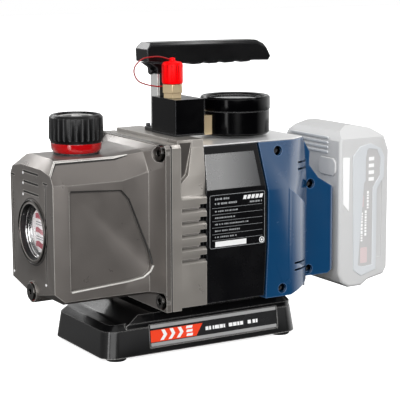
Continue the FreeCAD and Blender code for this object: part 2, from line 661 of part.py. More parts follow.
def build_motor_cover():
    band = cut("band", shell("band", "0.5", "2.8", "bracket_back + 0.2", "62"),
               slanted_end("band_end", "2"))
    neck = cut("neck", prism("neck_outer", "YZ_Plane", "bracket_back + 1", "64", section("3.7")),
               prism("neck_inner", "YZ_Plane", "bracket_back", "67", section("6")))
    sleeve = cut("sleeve", prism("sleeve_outer", "YZ_Plane", "slab_back + 15", "30", section("6.2")),
                 prism("sleeve_inner", "YZ_Plane", "slab_back + 14", "33", section("8.6")))
    joint = shell("joint", "0.5", "8", "bracket_back + 0.2", "4")
    node("motor_cover", fuse("motor_cover_solid", band, neck, sleeve, joint))

    strip = prism("panel_strip", "YZ_Plane", "bracket_back + 0.6", "62", panel_section())
    trimmed = cut("panel", strip, slanted_end("panel_end", "7"))
    node("silver_panels", group("panel_pair", trimmed, mirror_side("panel_far", trimmed)))
    label = block("label_plate", ("bracket_back + 2.3", "rear_start + 4.8"),
                  ("-flange_side", "-flange_side + 0.48"), ("91", "139.5"))
    node("spec_label", label)
    lid = new_body("top_body")
    edge = [("bracket_back + 0.3", "-lid_side + 0.6"), ("facet_start + 8", "-lid_side + 0.6"),
            ("rear_back - 2", "-lid_side + 9"), ("rear_back - 2", "lid_side - 9"),
            ("facet_start + 8", "lid_side - 0.6"), ("bracket_back + 0.3", "lid_side - 0.6")]
    pad(lid, outline(lid, "XY_Plane", "lid_up + 0.02", edge), "1.2")
    node("top_plate", lid)


def panel_section():
    """Section of the silver panel, lying on the sloped shoulder of the cover."""
    lean = "(flange_side - lid_side) / (lid_up - shoulder_up)"
    skin = "-flange_side + 0.48"
    return [(skin + " + 0.4 * " + lean, "shoulder_up + 0.4"),
            (skin + " + 31.4 * " + lean, "shoulder_up + 31.4"),
            (skin + " + 31.4 * " + lean + " - 0.8", "shoulder_up + 31.4"),
            (skin + " + 0.4 * " + lean + " - 0.48", "shoulder_up + 0.4")]


def build_motor():
    """Brushless motor: can, stator, windings, magnets, shaft, bearings and fan."""
    can = tube("can_wall", "x", "motor_radius + can_thick", "motor_radius", "motor_front - 6",
               "motor_rear + 12", AXLE)
    end = rod("can_end", "x", "motor_radius + can_thick", "motor_rear + 12", "motor_rear + 15", AXLE)
    boss = rod("can_boss", "x", "bearing_radius + 3", "motor_rear + 12",
               "motor_rear + 12 + bearing_wide", AXLE)
    bore = rod("can_bore", "x", "bearing_radius", "motor_rear + 11", "motor_rear + 30", AXLE)
    flange = tube("can_flange", "x", "53", "motor_radius", "motor_front - 6", "motor_front - 3", AXLE)
    node("motor_frame", fuse("motor_can", can, flange, cut("can_cap", fuse("can_back", end, boss), bore)))

    ring = tube("lamination", "x", "motor_radius", "motor_bore", "motor_front", "motor_rear", AXLE)
    slots = [cell_block(i) for i in range(12)]
    node("motor_stator", cut("stator_stack", ring, *slots))
    coils = [tube("coil_front", "x", "motor_radius - 3", "motor_bore + 3", "motor_front - 5",
                  "motor_front", AXLE),
             tube("coil_back", "x", "motor_radius - 3", "motor_bore + 3", "motor_rear",
                  "motor_rear + 5", AXLE)]
    node("motor_windings", group("windings", *coils))
    node("motor_magnets", tube("magnets", "x", "magnet_radius", "shaft_radius", "motor_front",
                               "motor_rear", AXLE))
    node("drive_shaft", rod("shaft", "x", "shaft_radius", "stator_front - 7", "fan_rear + 1", AXLE))
    fits = [tube("bearing", "x", "bearing_radius", "shaft_radius + 0.03", start,
                 start + " + bearing_wide", AXLE) for start in ("slab_back + 0.5", "motor_rear + 12")]
    node("shaft_bearings", group("bearing_pair", *fits))
    node("cooling_fan", fan())


def cell_block(i):
    """Slot between two stator teeth, open to the bore."""
    slot = doc.addObject("Part::Box", "tooth_gap")
    bind(slot, "Length", "motor_rear - motor_front + 2")
    slot.Width = 5
    slot.Height = 9
    turn = FreeCAD.Rotation(V(1, 0, 0), 30 * i)
    corner = turn.multVec(V(0, -2.5, size("motor_bore") - 1))
    slot.Placement = FreeCAD.Placement(corner + V(size("motor_front") - 1, 0, size("axle_up")), turn)
    return slot


def fan():
    """Fan with flat blades set at an angle on its hub."""
    hub = tube("fan_hub", "x", "fan_hub", "shaft_radius", "fan_front", "fan_rear", AXLE)
    blades = []
    count = int(size("fan_blades"))
    for i in range(count):
        blade = doc.addObject("Part::Box", "blade")
        bind(blade, "Length", "fan_rear - fan_front - 4")
        blade.Width = 1.6
        bind(blade, "Height", "fan_radius - fan_hub + 2")
        lean = FreeCAD.Rotation(V(0, 0, 1), 28)
        turn = FreeCAD.Rotation(V(1, 0, 0), 360.0 * i / count)
        start = turn.multVec(V(1.5, -3, size("fan_hub") - 1.5))
        base = V(size("fan_front"), 0, size("axle_up")) + start
        blade.Placement = FreeCAD.Placement(base, turn.multiply(lean))
        blades.append(blade)
    return fuse("fan", hub, *blades)


# ---------------------------------------------------------------- rear cover

def build_rear():
    outer = [cut("rear_faceted", housing("rear_outer", "0", "rear_start", "shell_back"),
                 *corner_cuts("0"))]
    outer.append(mount_solid("mount_outer", "0", "rear_back - 6", "mount_back"))
    whole = cut("rear_whole", fuse("rear_joined", *outer), chin("rear_chin", "0"))
    keep = slanted_front()
    inner = [cut("space_faceted", housing("rear_inner", "wall", "rear_start - 2", "shell_back - wall"),
                 *corner_cuts("wall")),
             mount_solid("mount_inner", "wall", "rear_back - 8", "mount_back - wall")]
    cavity = cut("rear_cavity", fuse("rear_space", *inner), chin("inner_chin", "-wall"))
    tools = [keep, cavity] + rear_openings()
    node("rear_cover", cut("rear", whole, *tools))

    screws = []
    for along, up, side in screw_spots():
        for sign in ("-", ""):
            low = "-(%s) + 5.2" % side if sign == "-" else "(%s) - 7.2" % side
            high = "-(%s) + 7.2" % side if sign == "-" else "(%s) - 5.2" % side
            screws.append(rod("cover_screw", "y", "3", low, high, (along, up)))
    node("rear_cover_screws", group("cover_screw_set", *screws))


def screw_spots():
    """Screw wells of the rear cover: along, up, and how far out the wall stands there."""
    return [("40.4", "172.4", "lid_side + 1.2"), ("43.4", "47.8", "flange_side"),
            ("rear_back + 11", "137", "mount_side"), ("rear_back + 9.5", "57", "mount_side")]


def rear_openings():
    tools = []
    for along, up, side in screw_spots():
        tools.append(rod("well_near", "y", "4.4", "-(%s) - 3" % side, "-(%s) + 5.2" % side, (along, up)))
        tools.append(rod("well_far", "y", "4.4", "(%s) - 5.2" % side, "(%s) + 3" % side, (along, up)))
    for sign in ("-", ""):
        for up in ("62.6", "69"):
            tools.append(block("low_vent", ("facet_start + 7.5", "facet_start + 25"),
                               ordered(sign, "flange_side - 11", "flange_side + 2"),
                               (up + " - 1", up + " + 1")))
        for up in ("153", "159.2"):
            tools.append(block("high_vent", ("facet_start + 16", "facet_start + 31"),
                               ordered(sign, "flange_side - 20", "flange_side + 2"),
                               (up + " - 1", up + " + 1")))
    tools.append(block("switch_hole", ("30", "49.4"), ("flange_side - 5", "flange_side + 2"),
                       ("104", "120")))
    tools.append(block("terminal_hole", ("mount_back - 5", "mount_back + 2"), ("-18", "18"),
                       ("72", "112")))
    return tools


def housing(name, inset, start, end):
    """Main block of the rear cover, its two rear upright edges rounded."""
    body = new_body(name)
    low = "flange_low + (%s)" % inset
    side, top_side = "flange_side - (%s)" % inset, "lid_side - (%s)" % inset
    points = [("-(%s)" % side, low), (side, low), (side, "rear_shoulder"),
              (top_side, "lid_up - (%s)" % inset), ("-(%s)" % top_side, "lid_up - (%s)" % inset),
              ("-(%s)" % side, "rear_shoulder")]
    block_pad = pad(body, outline(body, "YZ_Plane", start, points), "(%s) - (%s)" % (end, start))
    front = doc.getObject(block_pad.Name).Shape.BoundBox.XMax - 0.1
    dress(body, "Fillet", block_pad, "shell_round - (%s)" % inset,
          lambda edge: is_upright(edge) and edge.BoundBox.XMin > front)
    return body


def mount_solid(name, inset, start, end):
    """Narrower block behind the housing, stepped down to the face that carries the battery."""
    body = new_body(name)
    side = "mount_side - (%s)" % inset
    points = [(start, "mount_low + (%s)" % inset), ("(%s) - 9" % end, "mount_low + (%s)" % inset),
              ("(%s) - 2.5" % end, "mount_low + 4 + (%s)" % inset),
              (end, "mount_low + 12 + (%s)" % inset)]
    points += [(end, "mount_top - 12 - (%s)" % inset)] + steps(inset)
    points.append((start, "mount_top + 36 - (%s)" % inset))
    solid = pad(body, outline(body, "XZ_Plane", "-(%s)" % side, points), "2 * (%s)" % side)
    back = solid.Shape.BoundBox.XMax - 0.1
    dress(body, "Fillet", solid, "7 - (%s)" % inset,
          lambda edge: is_upright(edge) and edge.BoundBox.XMin > back)
    return body


def corner_cuts(inset):
    """Cuts that shape the housing above its two rear corners.

    Each side gets an upright facet that ends on a ledge falling backwards, and the back
    follows the same steps as the block behind it.
    """
    line = "flange_side - 1.143 * (%s) - facet_lean" % inset
    near, far = line + " * (-18)", line + " * 47"
    tools = [prism("stepped_back", "XZ_Plane", "-80", "160",
                   steps(inset) + [("rear_back + 1 - (%s)" % inset, "lid_up + 9"),
                                   ("rear_back + 25", "lid_up + 9"),
                                   ("rear_back + 25", "mount_top - (%s)" % inset)])]
    for sign in ("-", ""):
        facet = prism("corner_facet", "XY_Plane", "95", "105",
                      [("facet_start + 47", sign + "(%s)" % far),
                       ("facet_start + 47", sign + "(%s)" % near),
                       ("facet_start - 18", sign + "(%s)" % near)])
        below = prism("facet_floor", "XZ_Plane", "-80", "160",
                      [("facet_start - 22", "rear_shoulder + 22 * ledge_fall - (%s)" % inset),
                       ("facet_start + 50", "rear_shoulder - 50 * ledge_fall - (%s)" % inset),
                       ("facet_start + 50", "90"), ("facet_start - 22", "90")])
        tools.append(cut("corner_tool", facet, below))
    return tools


def steps(inset):
    """Steps of the back, from the level of the battery face up to the lid."""
    corners = [("rear_back + 19.6", "mount_top"), ("rear_back + 9.3", "mount_top + 12.7"),
               ("rear_back + 9.6", "mount_top + 24.7"), ("rear_back + 3.3", "mount_top + 35.2")]
    return [("%s - (%s)" % (along, inset), "%s - (%s)" % (up, inset)) for along, up in corners]


def chin(name, drop):
    """Wedge cut from under the rear of the housing."""
    return prism(name, "XZ_Plane", "-80", "160",
                 [("50", "flange_low - 12 - (%s)" % drop), ("50", "flange_low - 1 - (%s)" % drop),
                  ("rear_back - 2", "flange_low + 7 - (%s)" % drop),
                  ("rear_back + 9", "mount_low - 0.2 - (%s)" % drop),
                  ("rear_back + 9", "flange_low - 12 - (%s)" % drop)])


def slanted_front():
    """Everything ahead of the rear cover's slanted seam."""
    return prism("rear_front", "XZ_Plane", "-80", "160",
                 [("0", "200"), ("rear_start", "200"), ("rear_start + 0.5", "lid_up"),
                  ("rear_start + 8", "shoulder_up - 6"), ("rear_start + 8", "90"),
                  ("rear_start + 5.5", "flange_low"), ("rear_start + 5.5", "30"), ("0", "30")])


def build_electrics():
    """Controller board, battery terminals, sliding shoe and the power switch."""
    board = block("board", ("52", "53.6"), ("-38", "38"), ("70", "150"))
    parts = [rod("capacitor", "x", "6", "53.6", "69", (side, "132")) for side in ("-24", "-9", "6")]
    parts.append(block("driver_chip", ("53.6", "57"), ("-20", "20"), ("86", "106")))
    node("controller_board", fuse("controller", board, *parts))
    terminal = block("terminal_body", ("mount_back - 9", "mount_back + 2"), ("-17.5", "17.5"),
                     ("72.5", "111.5"))
    blades = [block("terminal_slot", ("mount_back - 2", "mount_back + 3"), (side, side + " + 2"),
                    ("80", "113")) for side in ("-12", "-1", "10")]
    node("terminal_block", cut("terminal", terminal, *blades))
    rails = []
    for sign in ("-", ""):
        head = block("rail_head", ("mount_back + 2.2", "mount_back + 4.2"), ordered(sign, "21", "27"),
                     ("66", "122"))
        foot = block("rail_foot", ("mount_back", "mount_back + 2.4"), ordered(sign, "21", "24"),
                     ("66", "122"))
        rails.append(fuse("rail", head, foot))
    node("battery_rails", group("rail_pair", *rails))

    well = block("bezel_block", ("30.1", "49.3"), ("flange_side - 9", "flange_side"), ("104.1", "119.9"))
    room = block("bezel_room", ("31.4", "48"), ("flange_side - 7.5", "flange_side + 1"),
                 ("105.6", "118.4"))
    pivot = rod("bezel_pin_hole", "z", "1.25", "104", "120", ("39.7", "flange_side - 3.5"))
    node("switch_bezel", cut("bezel", well, room, pivot))
    rocker = prism("rocker_body", "XY_Plane", "105.9", "12.2",
                   [("32", "flange_side - 3"), ("39.7", "flange_side - 2.2"),
                    ("47.3", "flange_side - 0.2"), ("47", "flange_side - 3.4"),
                    ("39.7", "flange_side - 6.2"), ("32.4", "flange_side - 5")])
    pin = rod("rocker_pin", "z", "1.2", "104.2", "119.8", ("39.7", "flange_side - 3.5"))
    node("power_switch", fuse("rocker", rocker, pin))


# ---------------------------------------------------------------- manifold, gauge and inlet

def build_manifold():
    row = ("port_side - block_half", "port_side + block_half")
    solid = block("manifold_solid", ("block_front", "block_back"), row, ("block_low", "block_top"))
    bore = rod("cross_bore", "x", "5", "block_front + 6", "block_back + 1",
               ("port_side", "coupling_up"))
    riser = rod("riser", "z", "4", "block_low - 1", "block_top + 1", ("inlet_along", "port_side"))
    node("manifold_block", cut("manifold", solid, bore, riser))
    seal = block("port_sheet", ("block_front - 0.4", "block_back"),
                 ("port_side - block_half - 0.4", "port_side + block_half + 0.4"),
                 ("bracket_top", "block_low"))
    hole = rod("port_sheet_hole", "z", "4", "bracket_top - 1", "block_low + 1",
               ("inlet_along", "port_side"))
    node("manifold_gasket", cut("manifold_seal", seal, hole))


def build_inlet():
    centre = ("inlet_along", "port_side")
    lower = hexagon("inlet_nut", "z", "nut_flats - 1.6", "block_top", "block_top + 4.6", centre)
    collar = hexagon("inlet_collar", "z", "nut_flats", "block_top + 4.6", "inlet_cap_low - 0.4", centre)
    nipple = taper("inlet_flare", "z", "6.2", "4.2", "inlet_cap_low - 0.4", "inlet_cap_top - 5", centre)
    way = rod("inlet_way", "z", "2.6", "block_top - 1", "inlet_cap_top", centre)
    node("inlet_fitting", cut("inlet", fuse("inlet_solid", lower, collar, nipple), way))

    node("inlet_cap", turned_at("red_cap", [
        ("6.6", "inlet_cap_low"), ("inlet_cap_radius - 0.4", "inlet_cap_low"),
        ("inlet_cap_radius", "inlet_cap_low + 2"), ("inlet_cap_radius", "inlet_cap_top - 3"),
        ("inlet_cap_radius - 1.4", "inlet_cap_top - 0.6"), ("2.6", "inlet_cap_top + 0.4"),
        ("2.4", "inlet_cap_top + 3"), ("0", "inlet_cap_top + 3.4"), ("0", "inlet_cap_top - 4"),
        ("5.2", "inlet_cap_top - 4")], "inlet_along", "port_side"))
    node("cap_tether", tether())


def tether():
    """Loop of soft strap from the cap's top to a ring under the cap."""
    along, side = size("inlet_along"), size("port_side")
    top, low = size("inlet_cap_top") + 2, size("inlet_cap_low") - 1.9
    route = [V(along - 3.2, side, top), V(along - 14, side - 1, top + 3), V(along - 31, side - 1, top + 2),
             V(along - 39.5, side, top - 7), V(along - 35, side + 0.6, top - 18),
             V(along - 24, side + 1, low + 1.6), V(along - 15, side + 0.5, low),
             V(along - 10.6, side, low)]
    edges = []
    start = route[0]
    for i in range(1, len(route) - 1):
        back, ahead = (route[i - 1] - route[i]), (route[i + 1] - route[i])
        reach = 0.45 * min(back.Length, ahead.Length)
        enter = route[i] + V(back).normalize() * reach
        leave = route[i] + V(ahead).normalize() * reach
        middle = (enter + leave) * 0.5
        half = (math.pi - back.getAngle(ahead)) / 2
        radius = reach / math.tan(half)
        centre = route[i] + (middle - route[i]).normalize() * (radius / math.cos(half))
        crest = centre + (route[i] - centre).normalize() * radius
        edges.append(Part.LineSegment(start, enter).toShape())
        edges.append(Part.Arc(enter, crest, leave).toShape())
        start = leave
    edges.append(Part.LineSegment(start, route[-1]).toShape())
    path = Part.Wire(edges)
    circle = Part.Wire([Part.Circle(route[0], (route[1] - route[0]), 0.6).toShape()])
    strand = path.makePipeShell([circle], True, True)
    ring = Part.makeTorus(11, 0.6, V(along, side, low), V(0, 0, 1))
    item = doc.addObject("Part::Feature", "strap")
    item.Shape = strand.fuse(ring)
    return item


def build_gauge():
    centre = ("gauge_along", "port_side")
    nut = block("coupling_nut", ("block_back", "gauge_along - gauge_radius + 5.2"),
                ("port_side - coupling_half", "port_side + coupling_half"),
                ("coupling_up - coupling_half", "coupling_up + coupling_half"))
    way = rod("coupling_way", "x", "2.5", "block_back - 1", "gauge_along", ("port_side", "coupling_up"))
    drum = rod("coupling_trim", "z", "gauge_radius - 0.7", "gauge_low - 6", "gauge_top", centre)
    node("gauge_coupling", cut("coupling", nut, way, drum))
    node("gauge_case", turned_at("case", [
        ("0", "gauge_low"), ("gauge_radius - 2.4", "gauge_low"), ("gauge_radius - 0.7", "gauge_low + 1.7"),
        ("gauge_radius - 0.7", "gauge_top - 12.6"), ("gauge_radius - 1.4", "gauge_top - 12.6"),
        ("gauge_radius - 1.4", "gauge_top - 11.5"), ("gauge_radius - 3", "gauge_top - 11.5"),
        ("gauge_radius - 3", "gauge_top - 9"), ("0", "gauge_top - 9")], *centre))
    node("gauge_bezel", turned_at("bezel_ring", [
        ("gauge_radius - 1.3", "gauge_top - 12.5"), ("gauge_radius - 0.4", "gauge_top - 12.5"),
        ("gauge_radius", "gauge_top - 11.5"), ("gauge_radius", "gauge_top - 1.5"),
        ("gauge_radius - 1.4", "gauge_top"), ("gauge_radius - 5", "gauge_top - 0.6"),
        ("gauge_radius - 5.6", "gauge_top - 2.4"), ("gauge_radius - 2.9", "gauge_top - 2.4"),
        ("gauge_radius - 2.9", "gauge_top - 11.4"), ("gauge_radius - 1.3", "gauge_top - 11.4")], *centre))
    node("gauge_lens", rod("gauge_glass", "z", "gauge_radius - 3", "gauge_top - 4.4",
                           "gauge_top - 2.4", centre))
    post = rod("needle_post", "z", "1", "gauge_top - 8.4", "gauge_top - 6.2", centre)
    face = rod("dial_disc", "z", "gauge_radius - 3.1", "gauge_top - 9", "gauge_top - 8.2", centre)
    node("gauge_dial", fuse("dial", face, post))
    hub = tube("needle_hub", "z", "2.6", "1.05", "gauge_top - 7.8", "gauge_top - 6.4", centre)
    hand = prism("needle_hand", "XY_Plane", "gauge_top - 7.6", "0.6",
                 [("-1.3", "-2.2"), ("-1", "-8"), ("1", "-8"), ("1.3", "-2.2"), ("1.2", "2.2"),
                  ("0.3", "gauge_radius - 9"), ("-0.3", "gauge_radius - 9"), ("-1.2", "2.2")])
    hand.Placement.Rotation = FreeCAD.Rotation(V(0, 0, 1), 135)
    seat(hand, "gauge_along", "port_side", "0")
    trimmed = cut("hand_trim", hand,
                  rod("hand_hole", "z", "2.4", "gauge_top - 9", "gauge_top - 5", centre))
    node("gauge_needle", fuse("needle", hub, trimmed))


# ---------------------------------------------------------------- handle

def build_handle():
    column = block("column_block", ("post_front + 2.6", "post_front + 18"),
                   ("handle_side - post_half", "handle_side + post_half"),
                   ("bracket_top", "handle_low - 8"))
    foot = block("column_foot", ("post_front - 4.5", "post_front + 7"),
                 ("handle_side - post_half", "handle_side + post_half + 4"),
                 ("bracket_top", "bracket_top + 3.6"))
    node("handle_post", fuse("post", column, foot))
    node("handle_strap", block("strap_plate", ("post_front", "post_front + 2.55"),
                               ("handle_side - post_half", "handle_side + post_half"),
                               ("bracket_top + 3.6", "handle_low - 1")))
    node("handle_grip", grip())
    pins = [rod("grip_bolt", "x", "2.9", "post_front - 4.6", "post_front - 1.65",
                ("handle_side", "handle_low - 7")),
            rod("foot_bolt", "z", "2", "bracket_top + 3.6", "bracket_top + 6.4",
                ("post_front - 2.2", "handle_side + post_half + 1.2"))]
    node("handle_bolts", group("handle_bolt_set", *pins))


def grip():
    """Cantilevered grip with a tapered lug round the top of the post."""
    body = new_body("grip_body")
    points = [("handle_front + 1", "handle_low + 2"), ("handle_front + 0.4", "handle_top - 6"),
              ("handle_front + 5", "handle_top"), ("handle_back - 14", "handle_top - 1"),
              ("handle_back - 6.5", "handle_top - 4.6"), ("handle_back", "handle_low + 2.6"),
              ("handle_back - 2.6", "handle_low - 1")]
    bumps = []
    for i in range(4):
        start = "handle_back - 20.5 - %d * 17" % i
        bumps += [(start, "handle_low - 0.4"), (start + " - 4", "handle_low - 1.6"),
                  (start + " - 12", "handle_low - 1.8"), (start + " - 16", "handle_low - 0.6")]
    points += bumps + [("handle_front + 26", "handle_low")]
    bar = pad(body, outline(body, "XZ_Plane", "-handle_side - handle_half", points), "2 * handle_half")
    high = size("handle_top") - 4.8
    dress(body, "Chamfer", bar, "2.6", lambda edge: is_long_top(edge, high))
    lug = prism("grip_lug", "XZ_Plane", "-handle_side - post_half - 3", "2 * post_half + 6",
                [("post_front - 9", "handle_low + 1"), ("post_front - 1.6", "handle_low - 4"),
                 ("post_front - 1.2", "handle_low - 9"), ("post_front + 19", "handle_low - 9"),
                 ("post_front + 22", "handle_low + 1")])
    slot = block("post_slot", ("post_front", "post_front + 18"),
                 ("handle_side - post_half", "handle_side + post_half"),
                 ("handle_low - 10", "handle_low - 1"))
    return cut("grip", fuse("grip_solid", body, lug), slot)


def is_long_top(edge, high):
    """Upper edges of the two long sides of the grip."""
    box = edge.BoundBox
    return box.YLength < 1e-3 and box.ZMin > high


# ---------------------------------------------------------------- battery

def build_battery():
    """Sliding pack with a rail shoe on its front face, two latches and eight cells."""
    walls = cut("case_walls", pack("pack_outer", "0"), pack("pack_inner", "2.6"))
    shoe = block("rail_shoe", ("mount_back + 0.5", "pack_front + 1"), ("-30", "30"), ("60", "130"))
    tools = [block("terminal_way", ("mount_back", "pack_front - 0.4"), ("-18.6", "18.6"),
                   ("59", "113.5"))]
    for sign in ("-", ""):
        tools.append(block("groove_neck", ("mount_back", "mount_back + 3"),
                           ordered(sign, "20.2", "24.8"), ("59", "123.5")))
        tools.append(block("groove_head", ("mount_back + 1.8", "mount_back + 4.6"),
                           ordered(sign, "20.2", "27.8"), ("pack_low - 1", "123.5")))
        tools.append(block("side_relief", ("pack_front + 33", "pack_back - 8"),
                           ordered(sign, "pack_side - 0.8", "pack_side + 1"), ("60", "160")))
        tools.append(latch("latch_way", sign, "0.35", ("pack_front - 3", "9")))
    node("battery_case", cut("case_shell", fuse("case_solid", walls, shoe), *tools))
    cells = [rod("cell", "z", "9.1", "pack_low + 24", "pack_low + 89", (along, side))
             for along in ("pack_front + 16", "pack_front + 36")
             for side in ("-29", "-9.7", "9.7", "29")]
    node("battery_cells", group("cell_set", *cells))
    node("battery_button_near", latch("near_latch", "-", "0", ("pack_front - 1.4", "5.6")))
    node("battery_button_far", latch("far_latch", "", "0", ("pack_front - 1.4", "5.6")))


def latch(name, sign, room, reach):
    """Eight-sided press latch in the pack's front wall, grown outwards by `room`."""
    inner, outer = "12 - " + room, "39 + " + room
    low, high = "140 - " + room, "157 + " + room
    points = [(inner + " + 4", low), (outer + " - 4", low), (outer, low + " + 4"),
              (outer, high + " - 4"), (outer + " - 4", high), (inner + " + 4", high),
              (inner, high + " - 4"), (inner, low + " + 4")]
    return prism(name, "YZ_Plane", reach[0], reach[1],
                 [(sign + "(%s)" % across, up) for across, up in points])


def pack(name, inset):
    """Battery pack with a bulged foot and a rounded shoulder."""
    body = new_body(name)
    low, high = "pack_low + (%s)" % inset, "pack_top - (%s)" % inset
    front, back = "pack_front + (%s)" % inset, "pack_back - (%s)" % inset
    points = [("%s + 12" % front, low), ("%s - 30" % back, low), ("%s - 22" % back, "%s + 5" % low),
              ("%s - 4" % back, "%s + 8.5" % low), (back, "%s + 15" % low), (back, "%s - 24" % high),
              ("%s - 5" % back, "%s - 11" % high), ("%s - 16" % back, "%s - 3" % high),
              ("%s - 32" % back, high), ("%s + 15" % front, high), ("%s + 5" % front, "%s - 4.5" % high),
              (front, "%s - 13" % high), (front, "%s + 14" % low), ("%s + 4" % front, "%s + 5" % low)]
    side = "pack_side - (%s)" % inset
    solid = pad(body, outline(body, "XZ_Plane", "-(%s)" % side, points), "2 * (%s)" % side)
    dress(body, "Fillet", solid, "3 - (%s) / 2" % inset,
          lambda edge: edge.BoundBox.YLength < 1e-3)
    slopes = []
    for sign in ("-", ""):
        corners = [("%s - 15.6" % side, "%s + 1" % high), ("%s + 1.3" % side, "%s - 12" % high),
                   ("%s + 1.3" % side, "%s + 1" % high)]
        slopes.append(prism(name + "_slope", "YZ_Plane", "pack_front - 2", "pack_back - pack_front + 4",
                            [(sign + "(%s)" % across, up) for across, up in corners]))
    return cut(name + "_sloped", body, *slopes)


# ---------------------------------------------------------------- document

def check_document():
    """Stop before writing when an object failed or a sub-part has no sound solid."""
    doc.recompute()
    faults = ["%s is %s" % (item.Name, item.State) for item in doc.Objects
              if "Invalid" in item.State or "Error" in item.State]
    for name, item in nodes.items():
        shape = item.Shape
        if shape.isNull() or not shape.isValid() or not shape.Solids:
            faults.append(name + " has no sound solid")
    if faults:
        raise ValueError("; ".join(faults))


def write_parts():
    os.makedirs("parts", exist_ok=True)
    for name, item in nodes.items():
        item.Shape.exportStep("parts/%s.step" % name)


fill_sheet()
for build in (build_base, build_badge, build_tank, build_tank_fittings, build_fill, build_pump,
              build_bracket, build_motor_cover, build_motor, build_rear, build_electrics,
              build_manifold, build_inlet, build_gauge, build_handle, build_battery):
    build()
check_document()
write_parts()
print(len(nodes), "sub-parts written")
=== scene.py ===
import json
import math
import random

import bmesh
import bpy
from mathutils import Matrix, Vector
from mathutils.bvhtree import BVHTree


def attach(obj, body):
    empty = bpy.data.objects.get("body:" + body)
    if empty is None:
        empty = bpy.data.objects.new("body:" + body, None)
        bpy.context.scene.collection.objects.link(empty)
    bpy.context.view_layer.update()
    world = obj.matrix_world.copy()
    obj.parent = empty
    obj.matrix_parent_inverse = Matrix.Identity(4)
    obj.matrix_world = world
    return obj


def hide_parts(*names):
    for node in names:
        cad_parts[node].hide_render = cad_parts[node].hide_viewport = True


# Cordless vacuum pump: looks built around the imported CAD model.
# The CAD frame is in metres: +Z up, +X from the oil tank to the battery, -Y the labelled side.
# Details are written in millimetres and brought to metres by MM.

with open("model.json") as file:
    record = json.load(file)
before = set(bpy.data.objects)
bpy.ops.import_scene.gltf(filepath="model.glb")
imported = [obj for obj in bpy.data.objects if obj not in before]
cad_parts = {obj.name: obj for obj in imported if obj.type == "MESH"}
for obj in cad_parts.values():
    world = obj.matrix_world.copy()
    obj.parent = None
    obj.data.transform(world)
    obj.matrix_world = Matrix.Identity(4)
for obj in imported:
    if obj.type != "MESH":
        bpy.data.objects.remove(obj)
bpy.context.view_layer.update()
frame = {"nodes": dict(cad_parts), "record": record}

scene = bpy.context.scene
MM = 0.001
BODY_OF = {node: body for body, members in frame["record"]["behaviour"]["bodies"].items()
           for node in members}
SLOT_OF = {row["node"]: row["material_slot"] for row in frame["record"]["subparts"]}

# Places on the object that several details share, in millimetres.
LABEL_FACE = -62.5
PACK_SIDE = -45
PACK_NOSE = 118.5
TANK_NOSE = -172.3
SIGHT_SIDE, SIGHT_UP = -2, 111.5
CAP_ALONG, CAP_RECESS = -129, 207.4
GAUGE_ALONG, GAUGE_AHEAD, DIAL_UP = 24.6, -12, 210.8
BASE_FACE, BASE_FOOT, BASE_LEAN = -52, 3, math.radians(7)


# ---------------------------------------------------------------- materials

NOISE_ROUGHNESS = 0.55
MOTTLE_SCALE, UNEVEN_SCALE, SMEAR_SCALE = 14, 45, 60
EDGE_START, EDGE_END = 0.86, 0.994
# Painted shade in gaps and inner corners: where the occlusion share starts and ends, and the
# darkest tone.
GAP_SHADE_START, GAP_SHADE_END = 0.25, 0.85
FLECK_TONE, GAP_SHADE_TONE, SMEAR_TONE = 0.78, 0.12, 0.9
COAT_ROUGHNESS = 0.12
GLASS_IOR = 1.45


def srgb(red, green, blue):
    """Screen colour from 0 to 255 as the linear colour that a shader takes."""
    def linear(value):
        value /= 255
        return value / 12.92 if value <= 0.04045 else ((value + 0.055) / 1.055) ** 2.4
    return (linear(red), linear(green), linear(blue), 1.0)


